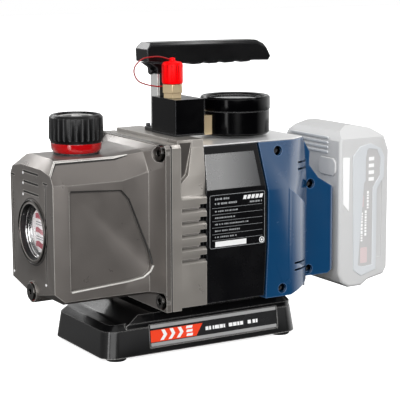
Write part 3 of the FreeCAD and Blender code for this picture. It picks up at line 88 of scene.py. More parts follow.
class Graph:
    """Builds the node tree of one named material."""

    def __init__(self, name):
        self.material = bpy.data.materials.new(name)
        self.material.use_nodes = True
        self.tree = self.material.node_tree
        self.shader = self.tree.nodes["Principled BSDF"]
        self.place = self.add("TexCoord").outputs["Object"]

    def add(self, kind, **settings):
        item = self.tree.nodes.new("ShaderNode" + kind)
        for key, value in settings.items():
            setattr(item, key, value)
        return item

    def link(self, source, target):
        self.tree.links.new(source, target)

    def noise(self, scale, detail, stretch=None):
        """Noise value at `scale` features per metre, optionally stretched along an axis."""
        item = self.add("TexNoise")
        item.inputs["Scale"].default_value = scale
        item.inputs["Detail"].default_value = detail
        item.inputs["Roughness"].default_value = NOISE_ROUGHNESS
        source = self.place
        if stretch:
            mapping = self.add("Mapping")
            mapping.inputs["Scale"].default_value = stretch
            self.link(source, mapping.inputs["Vector"])
            source = mapping.outputs["Vector"]
        self.link(source, item.inputs["Vector"])
        return item.outputs["Fac"]

    def span(self, value, low, high, start=0.3, end=0.7):
        """Map a value from start..end to low..high."""
        item = self.add("MapRange")
        item.inputs["From Min"].default_value = start
        item.inputs["From Max"].default_value = end
        item.inputs["To Min"].default_value = low
        item.inputs["To Max"].default_value = high
        self.link(value, item.inputs["Value"])
        return item.outputs["Result"]

    def mix(self, factor, first, second):
        """Blend of two colours; either may be a socket or a constant."""
        item = self.add("Mix", data_type="RGBA")
        for socket, value in ((item.inputs[0], factor), (item.inputs[6], first),
                              (item.inputs[7], second)):
            if hasattr(value, "links"):
                self.link(value, socket)
            else:
                socket.default_value = value
        return item.outputs[2]

    def edges(self, radius):
        """Close to 1 on convex and concave edges, 0 on flat faces."""
        soft = self.add("Bevel", samples=6)
        soft.inputs["Radius"].default_value = radius
        hard = self.add("NewGeometry")
        dot = self.add("VectorMath", operation="DOT_PRODUCT")
        self.link(soft.outputs["Normal"], dot.inputs[0])
        self.link(hard.outputs["Normal"], dot.inputs[1])
        return self.span(dot.outputs["Value"], 1.0, 0.0, EDGE_START, EDGE_END)

    def crevice(self, colour, reach, dark):
        """Painted shade: darken a colour in narrow gaps and inner corners."""
        near = self.add("AmbientOcclusion", samples=8)
        near.inputs["Distance"].default_value = reach
        share = self.span(near.outputs["AO"], 0.0, 1.0, GAP_SHADE_START, GAP_SHADE_END)
        return self.mix(share, dark, colour)

    def bump(self, height, strength, distance):
        item = self.add("Bump")
        item.inputs["Strength"].default_value = strength
        item.inputs["Distance"].default_value = distance
        self.link(height, item.inputs["Height"])
        return item.outputs["Normal"]


def scaled(colour, factor):
    """Colour made darker or lighter by a factor."""
    return tuple(min(1.0, channel * factor) for channel in colour[:3]) + (1.0,)


def surface(name, colour, rough, metallic=0.0, grain=900, grain_depth=0.00006, strength=0.35,
            mottle=0.08, coat=0.0, edge_highlight=None, specular=0.5, stretch=None, rough_swing=0.07,
            gap_shade_reach=0.0, flecks=0.06, glow=0.0):
    """General finish: mottled colour, uneven roughness and fine grain, with painted highlights on
    edges, painted shade in gaps and an optional glow that is painted light.
    """
    graph = Graph(name)
    shader = graph.shader
    broad = graph.noise(MOTTLE_SCALE, 4)
    tone = graph.mix(graph.span(broad, 0, 1), scaled(colour, 1 - mottle),
                     scaled(colour, 1 + mottle))
    fine = graph.noise(grain, 2, stretch)
    tone = graph.mix(graph.span(fine, 0, flecks), tone, scaled(colour, FLECK_TONE))
    # Lighter edges are painted highlights.
    if edge_highlight:
        amount, highlight_colour, radius = edge_highlight
        edge = graph.edges(radius)
        highlit = graph.add("Math", operation="MULTIPLY")
        highlit.inputs[1].default_value = amount
        graph.link(edge, highlit.inputs[0])
        tone = graph.mix(highlit.outputs[0], tone, highlight_colour)
    # Darker gaps and inner corners are painted shade.
    if gap_shade_reach:
        tone = graph.crevice(tone, gap_shade_reach * MM, scaled(colour, GAP_SHADE_TONE))
    graph.link(tone, shader.inputs["Base Color"])
    uneven = graph.noise(UNEVEN_SCALE, 5)
    graph.link(graph.span(uneven, rough - rough_swing, rough + rough_swing),
               shader.inputs["Roughness"])
    shader.inputs["Metallic"].default_value = metallic
    shader.inputs["Specular IOR Level"].default_value = specular
    shader.inputs["Coat Weight"].default_value = coat
    shader.inputs["Coat Roughness"].default_value = COAT_ROUGHNESS
    # A glow is painted light: the part looks lit though it is no lamp.
    shader.inputs["Emission Color"].default_value = colour
    shader.inputs["Emission Strength"].default_value = glow
    graph.link(graph.bump(fine, strength, grain_depth), shader.inputs["Normal"])
    return graph.material


def glass(name, tint, rough, transmission):
    """Clear pane with slightly smeared gloss."""
    graph = Graph(name)
    shader = graph.shader
    smear = graph.noise(SMEAR_SCALE, 4)
    graph.link(graph.span(smear, rough, rough + 0.06), shader.inputs["Roughness"])
    graph.link(graph.mix(graph.span(smear, 0, 0.25), tint, scaled(tint, SMEAR_TONE)),
               shader.inputs["Base Color"])
    shader.inputs["Transmission Weight"].default_value = transmission
    shader.inputs["IOR"].default_value = GLASS_IOR
    return graph.material


# Edge colours of painted highlights, for light finishes and for black ones.
EDGE_HIGHLIGHT_LIGHT = srgb(222, 218, 212)
EDGE_HIGHLIGHT_ON_BLACK = srgb(150, 152, 156)


def film(name):
    """Brushed silver sheet, with painted shade that darkens it along X towards the rear cover."""
    material = surface(name, srgb(156, 156, 156), 0.28, 0.72, 1400, 0.00002, 0.25, 0.03,
                       stretch=(0.02, 1, 1), rough_swing=0.03, flecks=0.05)
    tree = material.node_tree
    shader = tree.nodes["Principled BSDF"]
    source = shader.inputs["Base Color"].links[0].from_socket
    place = tree.nodes.new("ShaderNodeTexCoord")
    parts = tree.nodes.new("ShaderNodeSeparateXYZ")
    tree.links.new(place.outputs["Object"], parts.inputs[0])
    # Painted shade: the colour blends to a darker grey along X, towards the rear cover.
    share = tree.nodes.new("ShaderNodeMapRange")
    share.inputs["From Min"].default_value = -20 * MM
    share.inputs["From Max"].default_value = 20 * MM
    share.inputs["To Min"].default_value = 0.0
    share.inputs["To Max"].default_value = 0.95
    tree.links.new(parts.outputs["X"], share.inputs["Value"])
    dim = tree.nodes.new("ShaderNodeMix")
    dim.data_type = "RGBA"
    tree.links.new(share.outputs["Result"], dim.inputs[0])
    tree.links.new(source, dim.inputs[6])
    dim.inputs[7].default_value = srgb(78, 79, 81)
    tree.links.new(dim.outputs[2], shader.inputs["Base Color"])
    return material


# Lighter edges in these finishes are painted highlights.
FINISH = {
    # The tank, bracket and blue shell also get painted shade in gaps and inner corners.
    "tank_paint": surface("tank_paint", srgb(121, 116, 112), 0.33, 0.6, 1500, 0.00004, 0.35,
                          0.06, 0.1, (0.8, EDGE_HIGHLIGHT_LIGHT, 0.0014), gap_shade_reach=3.0),
    "bracket_paint": surface("bracket_paint", srgb(164, 159, 153), 0.32, 0.6, 1500, 0.00004,
                             0.35, 0.06, 0.1, (0.8, EDGE_HIGHLIGHT_LIGHT, 0.0013), gap_shade_reach=4.0),
    "blue_shell": surface("blue_shell", srgb(13, 62, 102), 0.22, 0, 1300, 0.00003, 0.25, 0.05,
                          0.7, (0.4, srgb(130, 160, 200), 0.0014), gap_shade_reach=2.5),
    "motor_skin": surface("motor_skin", srgb(10, 10, 12), 0.26, 0, 1300, 0.00003, 0.25, 0.1,
                          0.0, (0.3, srgb(120, 122, 126), 0.001), 0.22),
    "base_plastic": surface("base_plastic", srgb(11, 11, 12), 0.2, 0, 1500, 0.00003, 0.3, 0.1,
                            0.15, (0.6, srgb(190, 188, 186), 0.0014), 0.25),
    "foot_rubber": surface("foot_rubber", srgb(14, 14, 14), 0.7),
    "badge_black": surface("badge_black", srgb(13, 13, 15), 0.25, grain_depth=0.00001),
    "badge_grey": surface("badge_grey", srgb(150, 150, 150), 0.35, grain_depth=0.00001),
    "badge_red": surface("badge_red", srgb(232, 58, 14), 0.3, grain_depth=0.00001, mottle=0.03),
    "label_black": surface("label_black", srgb(11, 11, 13), 0.25, grain_depth=0.00001,
                           specular=0.2),
    "silver_film": film("silver_film"),
    "gasket_rubber": surface("gasket_rubber", srgb(14, 14, 14), 0.7),
    "red_rubber": surface("red_rubber", srgb(176, 5, 12), 0.14, coat=0.8, mottle=0.05,
                          flecks=0.03),
    "red_seal": surface("red_seal", srgb(185, 12, 16), 0.5),
    # Painted shade for the corner facet of the bracket.
    "bracket_shade": surface("bracket_shade", srgb(80, 76, 73), 0.4, 0.5, 1500, 0.00004, 0.3),
    "cap_mark": surface("cap_mark", srgb(205, 205, 203), 0.3, 0.3, 1200, 0.00002, 0.3),
    "black_cap": surface("black_cap", srgb(6, 6, 7), 0.3, 0, 1200, 0.00002, 0.3,
                         edge_highlight=(0.4, EDGE_HIGHLIGHT_ON_BLACK, 0.0007), specular=0.3),
    "red_cap": surface("red_cap", srgb(255, 0, 6), 0.35, mottle=0.03, specular=0.12),
    "tether_red": surface("tether_red", srgb(150, 8, 14), 0.35, mottle=0.05),
    "screw_steel": surface("screw_steel", srgb(88, 86, 84), 0.24, 1.0, 1100, 0.00002,
                           edge_highlight=(0.5, srgb(190, 190, 190), 0.0005)),
    "bolt_steel": surface("bolt_steel", srgb(70, 70, 72), 0.3, 1.0),
    "brass_parts": surface("brass_parts", srgb(232, 208, 168), 0.2, 0.6, 1000, 0.00002, 0.2),
    "sight_ring": surface("sight_ring", srgb(226, 226, 226), 0.12, 1.0, 1400, 0.00001, 0.1,
                          0.03),
    "sight_black": surface("sight_black", srgb(6, 6, 7), 0.3, grain_depth=0.00001),
    "sight_lens": glass("sight_lens", srgb(246, 248, 250), 0.02, 0.97),
    # The card and its red bands glow a little as painted light, so they look lit inside the seat
    # of the oil glass.
    "level_card": surface("level_card", srgb(255, 246, 244), 0.5, glow=0.3),
    "level_red": surface("level_red", srgb(196, 84, 98), 0.5, glow=0.2),
    "manifold_black": surface("manifold_black", srgb(3, 3, 4), 0.2, 0, 1500, 0.00002, 0.2,
                              specular=0.12, edge_highlight=(0.4, EDGE_HIGHLIGHT_ON_BLACK, 0.0005)),
    "gauge_black": surface("gauge_black", srgb(3, 3, 4), 0.14, 0, 1500, 0.00002, 0.15,
                           specular=0.1, edge_highlight=(0.6, srgb(210, 210, 210), 0.0008),
                           rough_swing=0.03),
    "gauge_glass": glass("gauge_glass", srgb(244, 246, 248), 0.02, 0.98),
    "dial_white": surface("dial_white", srgb(240, 240, 237), 0.45, grain_depth=0.00001),
    "needle_black": surface("needle_black", srgb(18, 18, 18), 0.4),
    "grip_rubber": surface("grip_rubber", srgb(7, 7, 8), 0.22, 0, 1600, 0.00003, 0.25, 0.1,
                           coat=0.1, specular=0.25, edge_highlight=(0.3, EDGE_HIGHLIGHT_ON_BLACK, 0.002)),
    "post_black": surface("post_black", srgb(12, 12, 12), 0.35),
    "bright_plate": surface("bright_plate", srgb(244, 244, 244), 0.35, 0.55, 1400, 0.00001, 0.1,
                            0.02, flecks=0.04),
    "strap_steel": surface("strap_steel", srgb(240, 240, 238), 0.2, 0.7, 1100, 0.00002, 0.2,
                           stretch=(1, 1, 0.04)),
    "stator_iron": surface("stator_iron", srgb(110, 110, 112), 0.45, 0.9),
    "rotor_steel": surface("rotor_steel", srgb(180, 180, 182), 0.25, 1.0),
    "vane_carbon": surface("vane_carbon", srgb(48, 42, 38), 0.6),
    "lamination": surface("lamination", srgb(120, 122, 126), 0.4, 0.9, 1600,
                          stretch=(3, 0.05, 0.05)),
    "copper_coil": surface("copper_coil", srgb(190, 108, 62), 0.35, 0.9, 1200, 0.0002, 0.6),
    "magnet_steel": surface("magnet_steel", srgb(150, 150, 154), 0.3, 1.0),
    "frame_alloy": surface("frame_alloy", srgb(188, 190, 192), 0.35, 1.0),
    "fan_plastic": surface("fan_plastic", srgb(36, 36, 38), 0.5),
    "board_green": surface("board_green", srgb(18, 88, 52), 0.4),
    "terminal_black": surface("terminal_black", srgb(24, 24, 26), 0.5),
    "switch_black": surface("switch_black", srgb(18, 18, 18), 0.35),
    "switch_red": surface("switch_red", srgb(205, 18, 18), 0.3, coat=0.2),
    "pack_grey": surface("pack_grey", srgb(203, 203, 203), 0.42, 0, 1500, 0.00003, 0.25, 0.02),
    "latch_grey": surface("latch_grey", srgb(206, 206, 206), 0.42, 0, 1500, 0.00003, 0.25, 0.02),
    "pack_shade": surface("pack_shade", srgb(192, 191, 191), 0.45, 0, 1500, 0.00003, 0.25, 0.02),
    "pack_blue": surface("pack_blue", srgb(210, 213, 216), 0.4, 0, 1500, 0.00003, 0.25, 0.02),
    "pack_white": surface("pack_white", srgb(250, 250, 250), 0.42, 0, 1500, 0.00003, 0.25, 0.02),
    "pack_pink": surface("pack_pink", srgb(216, 200, 200), 0.45, 0, 1500, 0.00003, 0.25, 0.02),
    "cell_wrap": surface("cell_wrap", srgb(60, 140, 128), 0.35),
    # Painted highlight for the crest of the deck and the lip of each side pocket.
    "painted_highlight_pale": surface("painted_highlight_pale", srgb(236, 233, 228), 0.3, 0.45, 1500, 0.00002, 0.2,
                            0.04, flecks=0.05),
    # Painted shade for the groove floors, the line under the deck's crest and the upper edge of
    # each side pocket.
    "painted_shade_grey": surface("painted_shade_grey", srgb(34, 32, 31), 0.5, 0.2, 1500, 0.00002, 0.2),
    "print_white": surface("print_white", srgb(236, 236, 236), 0.45, grain_depth=0.000005),
    "print_grey": surface("print_grey", srgb(128, 130, 132), 0.45, grain_depth=0.000005),
    "print_dim": surface("print_dim", srgb(150, 152, 154), 0.45, grain_depth=0.000005),
    "print_black": surface("print_black", srgb(12, 12, 12), 0.5, grain_depth=0.000005),
    "dot_white": surface("dot_white", srgb(236, 236, 236), 0.3, grain_depth=0.000005),
    "floor_paper": surface("floor_paper", srgb(243, 243, 243), 0.8, grain_depth=0.00002,
                           mottle=0.005),
}


# ---------------------------------------------------------------- mesh helpers

WELD_DISTANCE = 2e-6
FLAT_ANGLE = 0.6
BEVEL_ANGLE = 30
CAST_SMOOTH, INLAY_SMOOTH = 35, 40


def new_piece(name, mesh, body, slot, stands_for=(), finish=None):
    """Link a mesh as a named piece, paint it and hang it on a CAD body."""
    piece = bpy.data.objects.new(name, mesh)
    scene.collection.objects.link(piece)
    mesh.materials.clear()
    mesh.materials.append(FINISH[finish or slot])
    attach(piece, body)
    if stands_for:
        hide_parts(*stands_for)
    return piece


def mesh_of(work, name):
    """New mesh from a bmesh, which is freed."""
    mesh = bpy.data.meshes.new(name)
    work.to_mesh(mesh)
    work.free()
    return mesh


def smooth_by_angle(mesh, degrees):
    """Smooth shading, with sharp edges where two faces meet at more than the angle."""
    mesh.shade_smooth()
    mesh.set_sharp_from_angle(angle=math.radians(degrees))


def round_off(piece, width):
    """Narrow rounding along the edges of an inlaid piece."""
    bevel = piece.modifiers.new("edges", "BEVEL")
    bevel.width = width * MM
    bevel.segments = 2
    bevel.limit_method = "ANGLE"
    smooth_by_angle(piece.data, INLAY_SMOOTH)


def merged(node):
    """Copy of a CAD node's mesh with its flat faces joined up."""
    mesh = frame["nodes"][node].data.copy()
    work = bmesh.new()
    work.from_mesh(mesh)
    bmesh.ops.remove_doubles(work, verts=work.verts, dist=WELD_DISTANCE)
    bmesh.ops.dissolve_limit(work, angle_limit=math.radians(FLAT_ANGLE), verts=work.verts,
                             edges=work.edges)
    work.to_mesh(mesh)
    work.free()
    return mesh


def softened(node, width, segments):
    """Detailed copy of a CAD node with its edges rounded, standing for that node."""
    piece = new_piece(node + "_finished", merged(node), BODY_OF[node], SLOT_OF[node], (node,))
    bevel = piece.modifiers.new("edges", "BEVEL")
    bevel.width = width * MM
    bevel.segments = segments
    bevel.limit_method = "ANGLE"
    bevel.angle_limit = math.radians(BEVEL_ANGLE)
    bevel.use_clamp_overlap = True
    bevel.harden_normals = False
    smooth_by_angle(piece.data, CAST_SMOOTH)


# Every CAD node gets its finish, and the visible ones also get a rounded copy.
for node, item in frame["nodes"].items():
    item.data.materials.clear()
    item.data.materials.append(FINISH[SLOT_OF[node]])

# How wide the edges of each piece are rounded, in millimetres.
EDGE_WIDTHS = {
    "oil_tank": 1.3, "centre_bracket": 0.8, "rear_cover": 1.6, "motor_cover": 0.8,
    "base_tray": 1.8, "manifold_block": 0.6, "handle_post": 0.6, "handle_strap": 0.3,
    "handle_grip": 3.0, "gauge_case": 0.6, "gauge_bezel": 0.35, "gauge_coupling": 0.5,
    "inlet_fitting": 0.4, "inlet_cap": 0.9, "fill_cap": 0.4, "fill_cap_ring": 0.9,
    "battery_case": 2.0, "battery_button_near": 0.9, "battery_button_far": 0.9,
    "tank_screws": 0.5, "rear_cover_screws": 0.3, "drain_plug": 0.4, "top_plate": 0.4,
    "handle_bolts": 0.5, "base_feet": 0.5, "power_switch": 0.5, "switch_bezel": 0.3,
    "sight_glass_bezel": 0.3, "silver_panels": 0.25, "badge_flash": 0.12, "badge_stripes": 0.2,
}
for node, width in EDGE_WIDTHS.items():
    softened(node, width, 4 if node == "handle_grip" else 3)

REPAINT = {"drain_plug_finished": "screw_steel", "cap_tether": "tether_red",
           "top_plate_finished": "bright_plate"}
for name, finish in REPAINT.items():
    bpy.data.objects[name].data.materials[0] = FINISH[finish]


# ---------------------------------------------------------------- printed and inlaid details, painted highlights and painted shade

def near_side(depth_zero):
    """Places (along, up, depth) in millimetres on the labelled side."""
    return lambda along, up, deep: (along * MM, (depth_zero + deep) * MM, up * MM)


def far_side(depth_zero):
    """The same places mirrored to the other side."""
    return lambda along, up, deep: (along * MM, (-depth_zero - deep) * MM, up * MM)


def base_front(along, up, deep):
    """On the front of the base, which leans back."""
    back = (up - BASE_FOOT) * math.tan(BASE_LEAN)
    return (along * MM, (BASE_FACE + back + deep) * MM, up * MM)


def dial_face(across, ahead, deep):
    """On the dial, from its centre."""
    return ((GAUGE_ALONG + across) * MM, (GAUGE_AHEAD + ahead) * MM, (DIAL_UP - deep) * MM)


def tank_face(across, up, deep):
    """On the front of the oil tank."""
    return ((TANK_NOSE + deep) * MM, across * MM, up * MM)


def pack_front(across, up, deep):
    """On the side of the battery that faces the pump."""
    return ((PACK_NOSE + deep) * MM, across * MM, up * MM)


def cap_top(across, ahead, deep):
    """On the recessed top of the oil cap, from its centre."""
    return ((CAP_ALONG + across) * MM, ahead * MM, (CAP_RECESS - deep) * MM)


def about_sight(along):
    """Places across the oil glass, from its centre, with depth from a station along X."""
    return lambda across, up, deep: ((along + deep) * MM, (across + SIGHT_SIDE) * MM,
                                     (up + SIGHT_UP) * MM)


class Sheet:
    """Collects thin closed shapes that lie on one face of the object."""

    def __init__(self, place, front, back):
        self.work = bmesh.new()
        self.place, self.front, self.back = place, front, back

    def ring_of(self, points, deep):
        """Corners of one outline at one depth."""
        return [self.work.verts.new(self.place(u, v, deep)) for u, v in points]

    def shape(self, points):
        """Filled outline."""
        fore, rear = self.ring_of(points, self.front), self.ring_of(points, self.back)
        self.work.faces.new(fore)
        self.work.faces.new(rear[::-1])
        self.walls(fore, rear)

    def frame(self, outer, inner):
        """Band between two outlines with the same number of corners."""
        rows = [(self.ring_of(points, self.front), self.ring_of(points, self.back))
                for points in (outer, inner)]
        (out_fore, out_rear), (in_fore, in_rear) = rows
        count = len(outer)
        for i in range(count):
            j = (i + 1) % count
            self.work.faces.new((out_fore[i], out_fore[j], in_fore[j], in_fore[i]))
            self.work.faces.new((out_rear[j], out_rear[i], in_rear[i], in_rear[j]))
        self.walls(out_fore, out_rear)
        self.walls(in_rear, in_fore)

    def walls(self, fore, rear):
        """Faces that join the front outline to the rear one."""
        count = len(fore)
        for i in range(count):
            j = (i + 1) % count
            self.work.faces.new((fore[j], fore[i], rear[i], rear[j]))

    def bar(self, left, right, low, high):
        """Filled rectangle."""
        self.shape([(left, low), (right, low), (right, high), (left, high)])

    def dashes(self, left, right, low, high, rng, gap=0.55):
        """Row of short bars where the real object has a line of print."""
        at = left
        while at < right - 0.8:
            width = min(rng.uniform(0.7, 2.2) * (high - low) / 1.5, right - at)
            self.bar(at, at + width, low, high)
            at += width + gap * (1 if rng.random() < 0.75 else 2.6)

    def disc(self, across, up, radius, inner=0.0, count=28):
        """Disc, or a flat ring when it has an inner radius."""
        turns = [2 * math.pi * i / count for i in range(count)]
        outer = [(across + radius * math.cos(t), up + radius * math.sin(t)) for t in turns]
        if inner:
            self.frame(outer, [(across + inner * math.cos(t), up + inner * math.sin(t))
                               for t in turns])
        else:
            self.shape(outer)

    def finish(self, name, body, slot, finish=None, stands_for=(), bevel=0.0):
        """Turn the shapes into one named piece."""
        bmesh.ops.recalc_face_normals(self.work, faces=self.work.faces)
        piece = new_piece(name, mesh_of(self.work, name), body, slot, stands_for, finish)
        if bevel:
            round_off(piece, bevel)


def rounded(left, right, low, high, radius, steps=5):
    """Corners of a rectangle with rounded corners."""
    points = []
    corners = ((right - radius, high - radius, 0), (left + radius, high - radius, 90),
               (left + radius, low + radius, 180), (right - radius, low + radius, 270))
    for across, up, start in corners:
        for i in range(steps + 1):
            turn = math.radians(start + 90 * i / steps)
            points.append((across + radius * math.cos(turn), up + radius * math.sin(turn)))
    return points


def build_label():
    """Rating plate with a border, ruled rows, short bars in place of print, and a blank field."""
    rng = random.Random(4)
    plate = Sheet(near_side(LABEL_FACE), 0.14, 0.48)
    plate.shape(rounded(-33.4, 24.8, 91, 139.5, 2.2))
    plate.finish("label_plate", "pump", "label_black", stands_for=("spec_label",))
    lines = Sheet(near_side(LABEL_FACE), 0.03, 0.16)
    lines.frame(rounded(-32.7, 24.2, 91.6, 138.9, 1.8), rounded(-32.2, 23.7, 92.1, 138.4, 1.4))
    for up in (127.3, 121.5, 115.8, 110.0, 104.2, 98.8):
        lines.bar(-30.2, 21.5, up - 0.16, up + 0.16)
    lines.finish("label_lines", "pump", "label_black", "print_grey")
    marks = Sheet(near_side(LABEL_FACE), 0.03, 0.16)
    for up, right in ((135.2, -12.5), (131.1, -5)):
        marks.dashes(-27.3, right, up - 0.8, up + 0.8, rng)
    for up, right in ((124.4, -3), (118.6, -6.5), (112.9, 8), (107.1, -1.5), (101.6, -5)):
        marks.dashes(-27.3, right, up - 0.6, up + 0.6, rng)
    marks.dashes(8.5, 22, 129.4, 130.8, rng)
    marks.finish("label_marks", "pump", "label_black", "print_dim")
    bright = Sheet(near_side(LABEL_FACE), 0.03, 0.16)
    for i in range(5):
        left = 1.4 + 4.2 * i
        bright.shape([(left, 132.9), (left + 3.1, 132.9), (left + 4.1, 136.3), (left + 1, 136.3)])
    bright.bar(-27.1, 4.9, 92.9, 97.6)
    bright.disc(21, 94.9, 2.7, 1.9)
    bright.disc(21, 94.9, 1.1)
    bright.finish("label_blank", "pump", "label_black", "print_white")


def build_badge():
    """Plain chevrons and short bars where the base carries its printed strip."""
    rng = random.Random(9)
    white = Sheet(base_front, 0.06, 0.22)
    for i in range(3):
        left = -76 + 8.2 * i
        white.shape([(left, 13.6), (left + 3.4, 13.6), (left + 7.2, 18.1), (left + 5, 22.6),
                     (left + 1.6, 22.6), (left + 3.8, 18.1)])
    for up in (13.6, 17.0, 20.4):
        white.shape([(-49.6, up), (-43.4, up), (-42.8, up + 2.2), (-49.0, up + 2.2)])
    white.finish("badge_chevrons", "pump", "badge_red", "print_white")
    light = Sheet(base_front, 0.42, 0.66)
    for left, right in ((-29.6, -8.5), (-5.4, 11.5), (14.6, 26.2)):
        light.dashes(left, right, 16.0, 19.2, rng, 0.7)
    light.finish("badge_dashes", "pump", "badge_black", "print_white")


def build_dial():
    """Scale of the gauge: a printed arc, thirty divisions and numbers."""
    scale = Sheet(dial_face, -0.12, 0.05)
    outer, inner = [], []
    for i in range(61):
        turn = math.radians(225 - 4.5 * i)
        outer.append((24.6 * math.cos(turn), 24.6 * math.sin(turn)))
        inner.append((24.1 * math.cos(turn), 24.1 * math.sin(turn)))
    scale.shape(outer + inner[::-1])
    for i in range(31):
        turn = math.radians(225 - 9 * i)
        reach, half = (20.6, 0.35) if i % 5 == 0 else (22.4, 0.16)
        ahead, side = (math.cos(turn), math.sin(turn)), (-math.sin(turn), math.cos(turn))
        scale.shape([(reach * ahead[0] - half * side[0], reach * ahead[1] - half * side[1]),
                     (24.0 * ahead[0] - half * side[0], 24.0 * ahead[1] - half * side[1]),
                     (24.0 * ahead[0] + half * side[0], 24.0 * ahead[1] + half * side[1]),
                     (reach * ahead[0] + half * side[0], reach * ahead[1] + half * side[1])])
    scale.finish("dial_scale", "pump", "dial_white", "print_black")
    for i in range(7):
        turn = math.radians(225 - 45 * i)
        data = bpy.data.curves.new("number_%d" % i, "FONT")
        data.body = str(5 * i)
        data.size = 4.4 * MM
        data.align_x = data.align_y = "CENTER"
        data.extrude = 0.05 * MM
        text = bpy.data.objects.new("number_shape_%d" % i, data)
        mesh = bpy.data.meshes.new_from_object(text)
        bpy.data.objects.remove(text)
        mesh.transform(Matrix.Translation(Vector(dial_face(17 * math.cos(turn),
                                                           17 * math.sin(turn), -0.06))))
        new_piece("dial_number_%d" % (5 * i), mesh, "pump", "dial_white", finish="print_black")


def build_tank_marks():
    """Small white domes at the ends of the grooves on the front of the tank."""
    work = bmesh.new()
    for across, up in ((40.5, 69.4), (-26.5, 69.5), (17.2, 141.6), (16.8, 151.2), (16.5, 160.2)):
        made = bmesh.ops.create_uvsphere(work, u_segments=16, v_segments=10, radius=1.35 * MM)
        spot = Vector(tank_face(across, up, 0.25))
        for vert in made["verts"]:
            vert.co = Vector((vert.co.x * 0.6, vert.co.y, vert.co.z)) + spot
    mesh = mesh_of(work, "tank_pins")
    mesh.shade_smooth()
    new_piece("tank_pins", mesh, "pump", "tank_paint", finish="dot_white")


def build_cap_emblem():
    """Raised ring and drop on the top of the oil cap."""
    raised = Sheet(cap_top, -0.9, 0.1)
    raised.disc(0, 0, 15.4, 13.9, 48)
    drop = []
    for i in range(25):
        turn = math.radians(-210 + 240 * i / 24)
        drop.append((4.6 * math.cos(turn), -1.6 + 4.6 * math.sin(turn)))
    drop.append((0, 8.6))
    raised.shape(drop)
    raised.finish("cap_emblem", "fill_cap", "black_cap", "cap_mark", bevel=0.25)


def build_pack_details():
    """Coloured frame, pale stripe, marks and front ribs of the battery."""
    frame_outer = [(132.9, 158.2), (140.7, 167), (153.4, 169.5), (165.3, 164), (169.7, 155.6),
                   (169.1, 136.6), (161.2, 125.8), (161.4, 48.6), (144.1, 43.7), (135.1, 50)]
    frame_inner = [(148, 156), (149.4, 163.4), (151.4, 164.8), (160.8, 163.4), (164.9, 155.2),
                   (164.4, 138.8), (156.2, 127.4), (156.6, 53.4), (145.4, 52.6), (140.2, 54.2)]
    left_side = [(132.9, 158.2), (148, 156), (147.9, 134.6), (138.8, 121), (140.2, 54.2),
                 (135.1, 50)]
    rng = random.Random(21)
    for tag, place in (("near", near_side(PACK_SIDE)), ("far", far_side(PACK_SIDE))):
        band = Sheet(place, -0.75, 1.2)
        band.frame(frame_outer, frame_inner)
        band.finish("pack_frame_" + tag, "battery", "pack_grey", "pack_blue", bevel=0.4)
        wide = Sheet(place, -0.72, 1.1)
        wide.shape(left_side)
        wide.finish("pack_band_" + tag, "battery", "pack_grey", "pack_blue", bevel=0.3)
        panel = Sheet(place, -0.2, 1.1)
        panel.shape([(147.2, 157.2), (150, 164.4), (160.6, 164), (165.2, 156.6), (164.9, 138.4),
                     (156.4, 127), (156.8, 52.4), (140, 53), (138.4, 121.6), (147.2, 134)])
        panel.finish("pack_panel_" + tag, "battery", "pack_grey", "pack_shade", bevel=0.1)
        stripe = Sheet(place, -0.55, 1.2)
        stripe.shape([(121.8, 158), (129.4, 157.5), (129, 106.6), (122.6, 114.3)])
        stripe.finish("pack_stripe_" + tag, "battery", "pack_grey", "pack_white", bevel=0.3)
        blush = Sheet(place, -0.28, 0.2)
        blush.shape(rounded(139.6, 146.2, 109.6, 121, 1.2))
        blush.shape(rounded(143, 151, 56, 71, 1.2))
        blush.finish("pack_blush_" + tag, "battery", "pack_grey", "pack_pink")
        marks = Sheet(place, -0.3, 0.1)
        for i in range(4):
            marks.bar(151.4, 157.6, 134 + 6.4 * i, 137.4 + 6.4 * i)
        for left, low, high in ((149.8, 108, 124), (147.6, 82, 104), (143.2, 77, 103)):
            up = low
            while up < high:
                tall = rng.uniform(1.2, 3.0)
                marks.bar(left, left + 2.2, up, up + tall)
                up += tall + 0.8
        marks.finish("pack_marks_" + tag, "battery", "pack_grey", "pack_white")
    ribs = Sheet(pack_front, -1.1, 0.6)
    for up in (161.5, 166, 170.5, 175):
        ribs.shape(rounded(-26, 36, up - 1.1, up + 1.1, 1.0, 3))
    ribs.finish("pack_ribs", "battery", "pack_grey", "pack_blue", bevel=0.3)


def build_card_bands():
    """Red level marks printed on the card behind the oil glass."""
    card = about_sight(-162.32)
    bands = Sheet(card, -0.05, 0.08)
    for up, tall in ((11.4, 4.6), (-1.0, 4.4), (-13.2, 5.0)):
        points = []
        for i in range(13):
            across = -13 + 26 * i / 12
            points.append((across, up + tall / 2 + 0.7 * math.sin(0.9 * i + up)))
        for i in range(12, -1, -1):
            across = -13 + 26 * i / 12
            points.append((across, up - tall / 2 + 0.6 * math.sin(0.7 * i - up)))
        bands.shape(points)
    bands.finish("level_bands", "pump", "level_card", "level_red")
    lines = Sheet(card, -0.05, 0.08)
    for up in (6.5, 4.3, -6.2, -8.2):
        lines.bar(-12, 12, up - 0.35, up + 0.35)
    lines.finish("level_lines", "pump", "level_card", "print_grey")


def build_sight_surround():
    """Black sleeve in the seat of the oil glass as painted shade of the deep seat, and the dark
    joint line around its lip.
    """
    sight = about_sight(-173.4)
    sleeve = Sheet(sight, 0.0, 6.2)
    sleeve.disc(0, 0, 24.36, 24.0, 64)
    sleeve.finish("sight_sleeve", "pump", "gasket_rubber", "sight_black")
    joint = Sheet(sight, 1.04, 1.3)
    joint.disc(0, 0, 29.3, 28.55, 64)
    joint.finish("sight_joint", "pump", "gasket_rubber", "sight_black")


